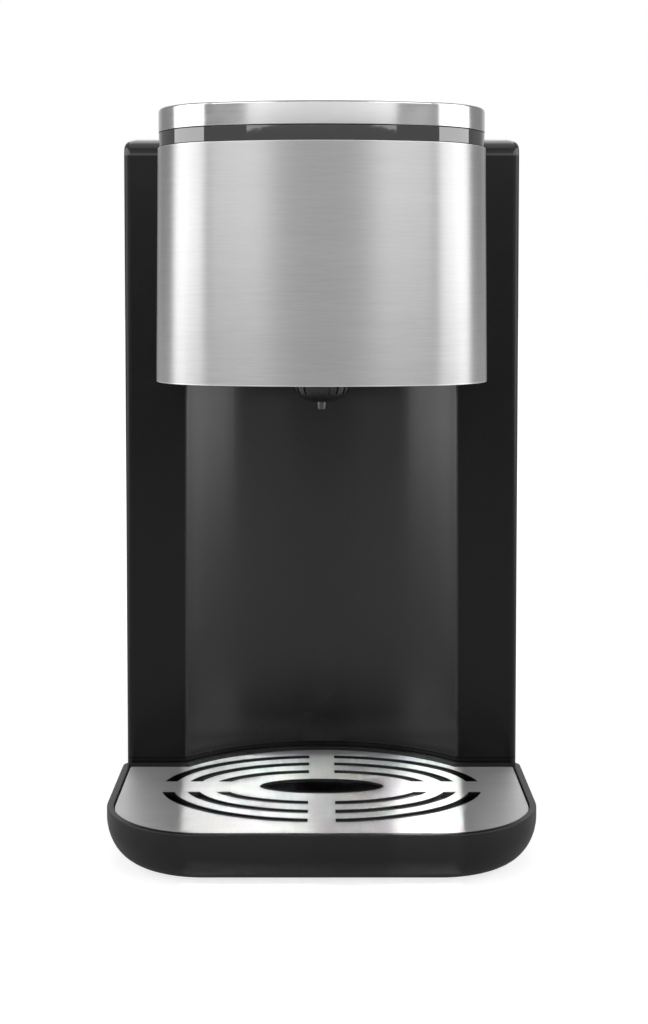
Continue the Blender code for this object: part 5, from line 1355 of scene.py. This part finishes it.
@dataclass(frozen=True)
class Tray:
    """The D-shaped drip tray and its slotted steel plate.

    The rings are the outer half widths and depths of the slots. The tongue's room is half a width, a front,
    a back and a corner, and the column's room is half a width, a front and a back.
    """

    half: float = 0.08645
    front: float = -0.145
    back: float = -0.0486
    corner: float = 0.0407
    rear_corner: float = 0.004
    gap: float = 0.0006
    low: float = 0.001
    high: float = 0.0212
    nose: Pair = (0.0135, 0.017)
    lip: float = 0.0004
    rim: float = 0.0027
    ledge: float = 0.0024
    seat: float = 0.0185
    floor: float = 0.0065
    floor_edge: float = 0.003
    under: float = 0.0043
    tongue_room: tuple[float, float, float, float] = (0.0506, -0.1256, -0.032, 0.012)
    column_room: Point = (0.09, -0.048, -0.018)
    eased: float = 0.00015
    plate_low: float = 0.0188
    plate_top: float = 0.0200
    plate_edge: float = 0.0003
    plate_eased: float = 0.00012
    slot: float = 0.005
    rings: tuple[Pair, ...] = ((0.0458, 0.0241), (0.0568, 0.0355), (0.0669, 0.0464))
    rings_y: float = -0.080
    bar_across: float = 0.011
    bar_along: float = 0.014
    hole: Pair = (0.0259, 0.0106)
    hole_y: float = -0.079
    hole_steps: int = 96
    grain_centre: Point = (0.0, -10.0, 0.0)

    def outline(self, inset: float, back_inset: float) -> Plan:
        """The tray in plan, with its bulge into the recess.

        Args:
            inset: how far in the sides and the front lie.
            back_inset: how far in the back lies.

        Returns:
            The outline.
        """
        half, front, back = self.half - inset, self.front + inset, self.back - back_inset
        corner, rear = self.corner - inset, max(self.rear_corner - back_inset, 2 * TINY)
        bulge = RECESS.radius - self.gap - back_inset
        reach = math.sqrt(bulge**2 - (back - RECESS.middle) ** 2)
        start = math.atan2(back - RECESS.middle, reach)
        return (
            arc((corner - half, front + corner), corner, 2 * QUARTER, 3 * QUARTER, 28)
            + arc((half - corner, front + corner), corner, 3 * QUARTER, 4 * QUARTER, 28)
            + arc((half - rear, back - rear), rear, 0, QUARTER, 8)
            + arc((0, RECESS.middle), bulge, start, 2 * QUARTER - start, 64)
            + arc((rear - half, back - rear), rear, QUARTER, 2 * QUARTER, 8)
        )

    def within(self, inset: float) -> Plan:
        """The tray in plan, drawn in all round."""
        return self.outline(inset, inset)

    def bowl(self) -> None:
        """Builds the tray with its bull-nosed underside, its rim and the room for the tongue."""
        rings = [level(self.outline(inset, 0.0), self.low + up) for inset, up in reversed(roll(*self.nose, steps=16))]
        rings += [level(self.within(inset), self.high - down) for inset, down in roll(self.lip, self.lip, steps=4)[1:]]
        bowl = loft("tray_bowl", rings)
        deep, below, above = self.rim + self.ledge, self.low - CUT, self.high + CUT
        edge = (self.floor_edge, self.floor_edge)
        basin = rolled("basin", lambda inset: self.within(deep + inset), self.floor, above, bottom=edge, steps=6)
        half, front, back, corner = self.tongue_room
        pocket = prism("pocket", rounded_box(-half, half, front, back, corner, TINY), below, self.under)
        half, front, back = self.column_room
        behind = block("behind", (-half, front, below), (half, back, self.under))
        carve(bowl, basin, prism("seat", self.within(self.rim), self.seat, above), pocket, behind)
        mount(soften(bowl, self.eased), BLACK_TRAY, "tray", "drip_tray")

    def plate(self, slots: Pattern) -> None:
        """Builds the slotted plate.

        Args:
            slots: the pattern that makes the slot cutters.
        """
        inset, edge = self.rim + GAP, (self.plate_edge, self.plate_edge)
        plate = rolled(
            "slotted_plate", lambda inward: self.within(inset + inward), self.plate_low, self.plate_top, edge
        )
        low, high = self.plate_low - CUT, self.plate_top + CUT
        shared = {
            "Slot": self.slot, "Bar_Across": self.bar_across, "Bar_Along": self.bar_along,
            "Centre": (0.0, self.rings_y, low), "Height": self.plate_top - self.plate_low + 2 * CUT,
        }
        cutters = [
            slots.make("slot", PLATE_STEEL, Wide=wide, Deep=deep, Side=side, Fore=fore, **shared)
            for wide, deep in self.rings for side in (-1.0, 1.0) for fore in (-1.0, 1.0)
        ]
        turns = [4 * QUARTER * i / self.hole_steps for i in range(self.hole_steps)]
        hole = [(self.hole[0] * math.cos(a), self.hole_y + self.hole[1] * math.sin(a)) for a in turns]
        carve(plate, prism("hole", hole, low, high), *cutters)
        soften(plate, self.plate_eased)
        # A texture space whose centre is far off keeps the grain's direction the same over the whole plate.
        plate.data.use_auto_texspace = False
        plate.data.texspace_location = self.grain_centre
        plate.data.texspace_size = (1.0, 1.0, 1.0)
        mount(plate, PLATE_STEEL, "grille", "drip_grille")

    def build(self, slots: Pattern) -> None:
        """Builds the tray and its plate."""
        self.bowl()
        self.plate(slots)


@dataclass(frozen=True)
class Spout:
    """The fluted dome and the nozzle tube under the head."""

    y: float = -0.0785
    radius: float = 0.0128
    top: float = 0.1904
    bottom: float = 0.1810
    neck: float = 0.0087
    neck_top: float = 0.1932
    flange: float = 0.0019
    bore: float = 0.0024
    eased: float = 0.00012
    flutes: int = 19
    flute_start_deg: float = -76.0
    flute_pitch_deg: float = 17.33
    flute_end: float = 0.1849
    flute_deep: float = 0.0007
    flute_half: float = 0.00055
    flute_out: float = 0.002
    flute_down: float = 0.0006
    tube: Pair = (0.0013, 0.0021)
    tube_edge: float = 0.00025
    tube_taper: float = 0.0003
    tube_step: float = 0.0004
    tip: float = 0.1780

    def dome(self, flutes: Pattern) -> None:
        """Builds the dome.

        Args:
            flutes: the pattern that makes the flute cutters.
        """
        sides = roll(self.radius - self.bore, self.top - self.flange - self.bottom, steps=14)
        curve = [(self.radius - inward, self.bottom + up) for inward, up in sides]
        neck = [(self.bore, self.neck_top), (self.neck, self.neck_top), (self.neck, self.top), (self.radius, self.top)]
        dome = turned("spout_cover", (0, self.y, 0), neck + curve, steps=96)
        side = [(radius - self.flute_deep, height) for radius, height in curve if height > self.flute_end]
        out, high = self.radius + self.flute_out, self.top - self.flute_down
        section = side + [(side[-1][0], self.flute_end), (out, self.flute_end), (out, high), (side[0][0], high)]
        flute = loft("flute", [[(x, y, z) for x, z in section] for y in (-self.flute_half, self.flute_half)])
        start, pitch = math.radians(self.flute_start_deg), math.radians(self.flute_pitch_deg)
        cutter = flutes.make("flutes", BLACK, Sample=flute, Count=self.flutes, Start=start, Pitch=pitch)
        cutter.data.transform(Matrix.Translation((0, self.y, 0)))
        bpy.data.objects.remove(flute)
        mount(soften(carve(dome, cutter), self.eased), DOME_BLACK, "body", "spout_dome")

    def nozzle(self) -> None:
        """Builds the nozzle tube with its tapered tip."""
        inner, outer = self.tube
        edge, thin = self.tube_edge, outer - self.tube_taper
        tube = turned("nozzle_tube", (0, self.y, 0), [
            (inner, self.tip + edge), (inner + edge, self.tip), (thin - edge, self.tip),
            (thin - edge * 0.3, self.tip + edge * 0.3), (thin, self.tip + edge),
            (outer, self.bottom + self.tube_step), (outer, self.neck_top), (inner, self.neck_top),
        ], steps=48)
        mount(soften(tube, 0.0), NOZZLE_STEEL, "body", "spout_nozzle")

    def build(self, flutes: Pattern) -> None:
        """Builds the dome and the tube."""
        self.dome(flutes)
        self.nozzle()


class Sign(Enum):
    """The mark moulded on a push button."""

    DROP = "drop"
    MINUS = "minus"
    PLUS = "plus"


@dataclass(frozen=True)
class Button:
    """One push button with a dished top and a raised mark, whose sizes are shares of the button's."""

    node: str
    x: float
    y: float
    radius: float
    sign: Sign
    low: float = 0.2988
    flange: float = 0.0014
    shoulder: float = 0.3000
    top: float = 0.3029
    edge: float = 0.0005
    dish: float = 0.00035
    dish_share: float = 0.86
    eased: float = 0.00006
    mark: float = 0.42
    mark_thin: float = 0.34
    mark_corner: float = 0.12
    mark_root: float = 0.0004
    mark_eased: float = 0.00004
    raised: float = 0.00042

    def marks(self) -> list[Plan]:
        """The outlines of its mark, in plan.

        Returns:
            The outlines.
        """
        size = self.radius * self.mark
        if self.sign is Sign.DROP:
            return [self.drop(size)]
        thin, corner = size * self.mark_thin, size * self.mark_corner
        bars = [(2 * size, thin), (thin, 2 * size)][:1 if self.sign is Sign.MINUS else 2]
        return [centred_box((self.x, self.y), *bar, corner, steps=3) for bar in bars]

    def drop(self, size: float) -> Plan:
        """The outline of a water drop with its point to the back.

        Args:
            size: half its height, about.

        Returns:
            The outline.
        """
        fat, pinch, point, shift, steps = 0.72, 0.62, 0.55, 0.12, 40
        points = []
        for i in range(steps):
            turn = 4 * QUARTER * i / steps
            pull = 0.5 * (1 + math.sin(turn))
            across = size * fat * math.cos(turn) * (1 - pinch * pull**1.6)
            points.append((self.x + across, self.y + size * (math.sin(turn) * fat + point * pull**3 - shift)))
        return points

    def build(self) -> None:
        """Builds the button and its mark."""
        high, wide, dished = self.top - TINY, self.radius + self.flange, self.radius * self.dish_share
        curve = [(dished * i / 10, high - self.dish * (1 - (i / 10) ** 2)) for i in range(11)]
        rim = [(self.radius - inward, high - down) for inward, down in reversed(roll(self.edge, self.edge, steps=4))]
        skirt = [(self.radius, self.shoulder), (wide, self.shoulder), (wide, self.low), (0.0, self.low)]
        body = turned(f"{self.node}_cap", (self.x, self.y, 0.0), curve + rim + skirt)
        mount(soften(body, self.eased), BUTTON, self.node, self.node)
        floor = high - self.dish
        low, high = floor - self.mark_root, floor + self.raised
        prints = [prism(f"{self.node}_mark", plan, low, high) for plan in self.marks()]
        mark = soften(carve(prints[0], *prints[1:], operation="UNION"), self.mark_eased)
        mount(mark, PRINT, self.node)


@dataclass(frozen=True)
class Controls:
    """The gloss panel in the cap, its display window and the five push buttons."""

    low: float = 0.3003
    high: float = 0.3017
    inset: float = 0.0093
    edge: Pair = (0.00015, 0.00015)
    eased: float = 0.00008
    display: Pair = (0.0, -0.041)
    window: Pair = (0.044, 0.016)
    window_corner: float = 0.001
    window_edge: Pair = (0.0003, 0.0003)
    buttons: tuple[Button, ...] = (
        Button("button_dispense", 0.0, -0.074, 0.011, Sign.DROP),
        Button("button_volume_down", -0.036, -0.084, 0.006, Sign.MINUS),
        Button("button_volume_up", -0.036, -0.064, 0.006, Sign.PLUS),
        Button("button_temperature_down", 0.036, -0.084, 0.006, Sign.MINUS),
        Button("button_temperature_up", 0.036, -0.064, 0.006, Sign.PLUS),
    )

    def glass(self, inset: float) -> Plan:
        """The window's outline, drawn in by a distance."""
        wide, deep = (size - 2 * inset for size in self.window)
        return centred_box(self.display, wide, deep, self.window_corner - min(inset, 0.0))

    def build(self) -> None:
        """Builds the panel, the window and the buttons."""
        panel = rolled("gloss_panel", lambda inset: HEAD.outline(self.inset + inset), self.low, self.high, self.edge)
        low, tall = self.low - CUT, self.high - self.low + 2 * CUT
        tools = [prism("opening", self.glass(-GAP), low, self.high + CUT)]
        for button in self.buttons:
            wide = button.radius + GAP
            hole = [(0, 0), (wide, 0), (wide, tall), (0, tall)]
            tools.append(turned("hole", (button.x, button.y, low), hole))
            button.build()
        mount(soften(carve(panel, *tools), self.eased), GLOSS_BLACK, "body", "control_panel")
        glass = rolled("display_glass", self.glass, self.low, self.high, self.window_edge)
        mount(soften(glass, 0.0), WINDOW_BLACK, "body", "display_window")


@dataclass(frozen=True)
class Base:
    """The base housing and plate, with the feet and screws under them.

    The sole and the pan are shares of the radius with heights, the thread is its radii with heights in one
    turn, and the cross is half its length and width, and its depth.
    """

    eased: float = 0.0002
    sole: tuple[Pair, ...] = ((0.0, 0.0004), (0.45, 0.0003), (0.62, 0.0), (0.86, 0.0), (0.96, 0.0003), (1.0, 0.0010))
    pan: tuple[Pair, ...] = ((0.0, 0.0), (0.7, 0.0), (0.93, 0.0002), (1.0, 0.0006), (1.0, 0.0012))
    crest: float = 0.00148
    core: float = 0.00115
    thread: tuple[Pair, ...] = ((0.00148, 0.0), (0.00115, 0.0004), (0.00115, 0.0005), (0.00148, 0.0009))
    pitch: float = 0.0010
    plain: float = 0.0022
    point: float = 0.0012
    cross: Point = (0.0014, 0.0003, 0.0006)

    def build(self, copies: Pattern) -> None:
        """Builds the base.

        Args:
            copies: the pattern that copies a sample to points.
        """
        refine(self.eased, "base_housing", "base_plate", "cord_gland")
        self.under("foot", "rubber_feet", RUBBER, copies)
        self.under("base_screw", "housing_screws", ZINC, copies)

    def under(self, kind: str, name: str, finish: Finish, copies: Pattern) -> None:
        """Copies one finer foot or screw to the four places where the frame has them.

        Args:
            kind: how the four nodes' names start.
            name: the new piece's name.
            finish: its finish.
            copies: the pattern that copies a sample to points.
        """
        nodes = [f"{kind}_{place}" for place in ("front_left", "front_right", "rear_left", "rear_right")]
        low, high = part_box(nodes[0])
        radius, tall = (high[0] - low[0]) / 2, high[2] - low[2]
        sample = self.foot(radius, tall) if kind == "foot" else self.screw(radius, tall)
        places = []
        for node in nodes:
            near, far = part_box(node)
            places.append(((near[0] + far[0]) / 2, (near[1] + far[1]) / 2, near[2]))
        made = copies.make(name, finish, places, Sample=sample)
        bpy.data.objects.remove(sample)
        mount(made, finish, "body", *nodes)

    def foot(self, radius: float, tall: float) -> Piece:
        """A rubber foot with a tapered side, a dished sole and a rolled edge."""
        profile = [(radius * share, height) for share, height in self.sole]
        return turned("foot_sample", (0.0, 0.0, 0.0), profile + [(radius, tall), (0.0, tall)], steps=48)

    def screw(self, radius: float, tall: float) -> Piece:
        """A pan-head screw with a cross recess and threads on its shank.

        Args:
            radius: its head's radius.
            tall: its length with the head.

        Returns:
            The screw.
        """
        profile = [(radius * share, height) for share, height in self.pan]
        head = profile[-1][1]
        profile.append((self.crest, head))
        height = head + self.pitch
        while height < tall - self.plain:
            profile += [(wide, height + up) for wide, up in self.thread]
            height += self.pitch
        profile += [(self.core, tall - self.point), (0.0, tall)]
        long, thin, deep = self.cross
        cuts = [block("recess", (-x, -y, -CUT), (x, y, deep)) for x, y in ((long, thin), (thin, long))]
        return carve(turned("screw_sample", (0.0, 0.0, 0.0), profile, steps=24), *cuts)


@dataclass(frozen=True)
class Tank:
    """The smoked water tank with its lid, pin and valve, and the dock that it stands on."""

    wire: float = 0.0006
    turns: float = 5.0
    travel: float = 0.003
    eased: tuple[tuple[float, str], ...] = (
        (0.0004, "water_tank"), (0.0002, "tank_lid"), (0.0001, "lid_pin"), (0.0003, "tank_dock"),
        (0.00012, "valve_cage valve_plunger valve_seal dock_seal"),
    )

    def build(self, coils: Pattern) -> None:
        """Builds the tank.

        Args:
            coils: the pattern that winds a wire round Z.
        """
        for edge, nodes in self.eased:
            refine(edge, *nodes.split())
        self.spring(coils)

    def spring(self, coils: Pattern) -> None:
        """Winds the valve's spring.

        Args:
            coils: the pattern that winds a wire round Z.
        """
        low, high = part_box("valve_spring")
        wire, tall = self.wire, high[2] - low[2]
        x, y = (low[0] + high[0]) / 2, (low[1] + high[1]) / 2
        made = coils.make(
            "valve_coil", ZINC, Turns=self.turns, Height=tall - 2 * wire, Radius=(high[0] - low[0]) / 2 - wire,
            Wire=wire,
        )
        made.data.transform(Matrix.Translation((x, y, low[2] + wire)))
        mount(made, ZINC, "tank", "valve_spring")
        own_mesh(made)


@dataclass(frozen=True)
class Works:
    """The frame, heater, pump, hoses, boards and steam chamber inside the column and head.

    A hose and the loom's sleeve are an outer radius and a wall, and the routes run from end to end.
    """

    eased: tuple[tuple[float, str], ...] = (
        (0.0002, "head_housing inner_frame steam_chamber heater heater_clamp_lower heater_clamp_upper thermostat "
                 "thermal_fuse pump pump_bracket control_board power_board"),
        (0.00008, "board_screw_left board_screw_right frame_screw_left frame_screw_right"),
    )
    hose: Pair = (0.0045, 0.0018)
    sleeve: Pair = (0.0020, 0.0012)
    bend: float = 0.0060
    routes: tuple[tuple[str, tuple[Point, ...]], ...] = (
        ("inlet_hose", ((0.0, 0.0927, 0.0149), (0.0, 0.0767, 0.0149), (-0.042, 0.05, 0.0149), (-0.042, 0.05, 0.025))),
        ("pump_hose", ((-0.0257, 0.05, 0.0353), (0.032, 0.05, 0.0353), (0.032, 0.05, 0.0777))),
        ("outlet_hose", (
            (0.032, 0.05, 0.1983), (0.032, 0.05, 0.22), (0.032, 0.006, 0.22), (0.0, -0.0472, 0.2125),
            (0.0, -0.0632, 0.2125),
        )),
        ("wiring_loom", (
            (-0.02, 0.0179, 0.1623), (-0.02, 0.0179, 0.2304), (0.0, -0.014, 0.2564), (0.0, -0.014, 0.29265),
        )),
    )

    def build(self, hoses: Pattern) -> None:
        """Builds the works.

        Args:
            hoses: the pattern that runs a tube along its points.
        """
        for edge, nodes in self.eased:
            refine(edge, *nodes.split())
        for node, route in self.routes:
            radius, wall = self.sleeve if node == "wiring_loom" else self.hose
            finish = CAD_FINISHES[node]
            tube = hoses.make(f"{node}_tube", finish, route, Radius=radius, Wall=wall, Bend=self.bend)
            mount(tube, finish, BODY_OF[node], node)


# Studio


@dataclass(frozen=True)
class Softbox:
    """One soft area light: its place, the point that it faces, its width, height and watts, and its grid."""

    name: str
    place: Point
    aim: Point
    width: float
    tall: float
    power: float
    spread_deg: float = 180.0
    turn_deg: float = 0.0

    def hang(self) -> None:
        """Adds the light to the scene."""
        data = bpy.data.lights.new(self.name, "AREA")
        data.shape = "RECTANGLE"
        data.size, data.size_y = self.width, self.tall
        data.energy, data.spread = self.power, math.radians(self.spread_deg)
        made = placed(self.name, data)
        made.location = self.place
        facing = (Vector(self.aim) - Vector(self.place)).to_track_quat("-Z", "Y")
        made.rotation_euler = (facing @ Quaternion((0.0, 0.0, 1.0), math.radians(self.turn_deg))).to_euler()


SOFTBOXES = (
    Softbox("left_softbox", (-1.317, -0.312, 0.45), (0.0, -0.05, 0.15), 1.22, 1.6, 11.1),
    Softbox("right_softbox", (1.317, -0.312, 0.45), (0.0, -0.05, 0.15), 1.22, 1.6, 11.1),
    Softbox("front_softbox", (0.0, -1.5, 0.642), (0.0, -0.05, 0.262), 1.6, 0.4, 1.98),
    Softbox("left_fill", (-0.78, -1.24, 0.90), (0.0, -0.13, 0.24), 0.69, 0.70, 2.75),
    Softbox("left_fill_low", (-0.78, -1.24, 0.26), (0.0, -0.13, 0.21), 0.69, 0.12, 0.36),
    Softbox("right_fill", (0.78, -1.24, 0.90), (0.0, -0.13, 0.24), 0.69, 0.70, 2.75),
    Softbox("right_fill_low", (0.78, -1.24, 0.26), (0.0, -0.13, 0.21), 0.69, 0.12, 0.36),
    Softbox("overhead_softbox", (0.0, -0.10, 1.6), (0.0, -0.05, 0.0), 1.5, 1.3, 3.0),
    Softbox("back_softbox", (0.0, 0.74, 1.23), (0.0, 0.0, 0.28), 1.0, 1.3, 6.1),
)


@dataclass(frozen=True)
class Studio:
    """The pale floor, the lights and the camera at the photograph's angle.

    Each gridded light over the plate has a name, the X of its two edges, its watts and its turn in degrees.
    The world and the floor are white to the camera, and as bright as these shares to everything else. Each
    pair is where a change of brightness starts and ends: a share of the way back, a radius, a Y, an X, and
    the lean of a line from the middle to a place on the floor.
    """

    distance: float = 0.765
    height: float = 0.228
    lens: float = 57.48
    shift_x: float = 0.0023
    shift_y: float = -0.2168
    grids: tuple[tuple[str, float, float, float, float], ...] = (
        ("left_grid", -0.0561, -0.0067, 0.0099, 4.0),
        ("middle_grid", -0.0067, 0.031, 0.0031, 0.0),
        ("right_grid", 0.031, 0.0561, 0.0092, -4.0),
    )
    grid_aim: Pair = (-0.097, 0.02)
    grid_reach: float = 0.35
    grid_lean_deg: float = 59.0
    grid_tall: float = 0.106
    grid_spread_deg: float = 1.0
    floor_size: float = 12.0
    floor_grey: float = 0.50
    floor_roughness: float = 0.9
    room: float = 0.30
    backdrop: float = 0.60
    near_white: float = 0.74
    mirrored_white: float = 0.15
    mirrored_sides: float = 0.6
    backdrop_y: Pair = (0.75, 0.95)
    white_radius: Pair = (0.25, 1.2)
    white_y: Pair = (0.0, 0.6)
    side_x: Pair = (0.09, 0.20)
    side_start: Pair = (-0.42, -0.05)
    side_end: Pair = (0.02, 0.30)

    def camera(self) -> None:
        """Sets up the camera."""
        data = bpy.data.cameras.new("photo_camera")
        data.lens = self.lens
        data.sensor_width = 36.0
        data.sensor_fit = "AUTO"
        data.shift_x, data.shift_y = self.shift_x, self.shift_y
        data.clip_start = 0.01
        made = placed("photo_camera", data)
        made.location = (0.0, -self.distance, self.height)
        made.rotation_euler = (QUARTER, 0.0, 0.0)
        bpy.context.scene.camera = made

    def lights(self) -> None:
        """Hangs the soft lights round the object and the gridded ones over its plate."""
        for softbox in SOFTBOXES:
            softbox.hang()
        y, z = self.grid_aim
        lean = math.radians(self.grid_lean_deg)
        for name, low, high, power, turn in self.grids:
            aim = ((low + high) / 2, y, z)
            place = (aim[0], y - self.grid_reach * math.cos(lean), z + self.grid_reach * math.sin(lean))
            Softbox(name, place, aim, high - low, self.grid_tall, power, self.grid_spread_deg, turn).hang()

    def world(self) -> None:
        """Makes a world that is white to the camera and a dimmer room to everything else."""
        made = bpy.data.worlds.new("studio_world")
        bpy.context.scene.world = made
        shader = Shader(made, "Background")
        way = shader.split(shader.node("ShaderNodeTexCoord", {}, "Generated"))[1]
        start, end = self.backdrop_y
        values = {"Value": way, "From Min": start, "From Max": end, "To Min": self.room, "To Max": self.backdrop}
        room = shader.node("ShaderNodeMapRange", values, interpolation_type="SMOOTHSTEP")
        seen = shader.node("ShaderNodeLightPath", {}, "Is Camera Ray")
        shader.feed("Color", (1.0, 1.0, 1.0, 1.0))
        shader.feed("Strength", seen.maths("MAXIMUM", room))

    def floor(self) -> None:
        """Lays the plain pale floor, which keeps the object's shadow."""
        size, grey = self.floor_size, self.floor_grey
        made = placed("studio_floor", bpy.data.meshes.new("studio_floor"))
        corners = [(-size, -size, 0), (size, -size, 0), (size, size, 0), (-size, size, 0)]
        made.data.from_pydata(corners, [], [(0, 1, 2, 3)])
        material = bpy.data.materials.new("studio_floor")
        shader = Shader(material)
        shader.feed("Base Color", (grey, grey, grey, 1.0))
        shader.feed("Roughness", self.floor_roughness)
        shader.feed("Specular IOR Level", 0.0)
        seen, glossy, through = (
            shader.node("ShaderNodeLightPath", {}, f"Is {kind} Ray") for kind in ("Camera", "Glossy", "Transmission")
        )
        x, y, _ = shader.axes()
        across = x.maths("ABSOLUTE")
        lean = y / across
        far = ((x * x + y * y) ** 0.5).step(*self.white_radius)
        beside = across.step(*self.side_x) * lean.step(*self.side_start) * (1.0 - lean.step(*self.side_end))
        around = y.step(*self.white_y) * self.mirrored_white + beside * self.mirrored_sides
        white = far * (1.0 - self.near_white) + self.near_white
        share = white * seen + glossy.maths("MAXIMUM", through) * around
        shader.feed("Emission Color", share.between((0.0, 0.0, 0.0), (1.0, 1.0, 1.0)))
        shader.feed("Emission Strength", 1.0)
        made.data.materials.append(material)

    def build(self) -> None:
        """Sets up the whole studio."""
        self.camera()
        self.lights()
        self.world()
        self.floor()
        bpy.context.scene.view_settings.view_transform = "Standard"


def main() -> None:
    """Builds the object's looks, one sub-assembly after the other."""
    logging.basicConfig(level=logging.INFO, format="%(name)s: %(message)s")
    Studio().build()
    dress_frame()
    Column().build()
    Head().build()
    Tray().build(slot_pattern())
    Spout().build(round_pattern())
    Controls().build()
    Base().build(copies_pattern())
    Tank().build(coil_pattern())
    Works().build(hose_pattern())


if __name__ == "__main__":
    main()
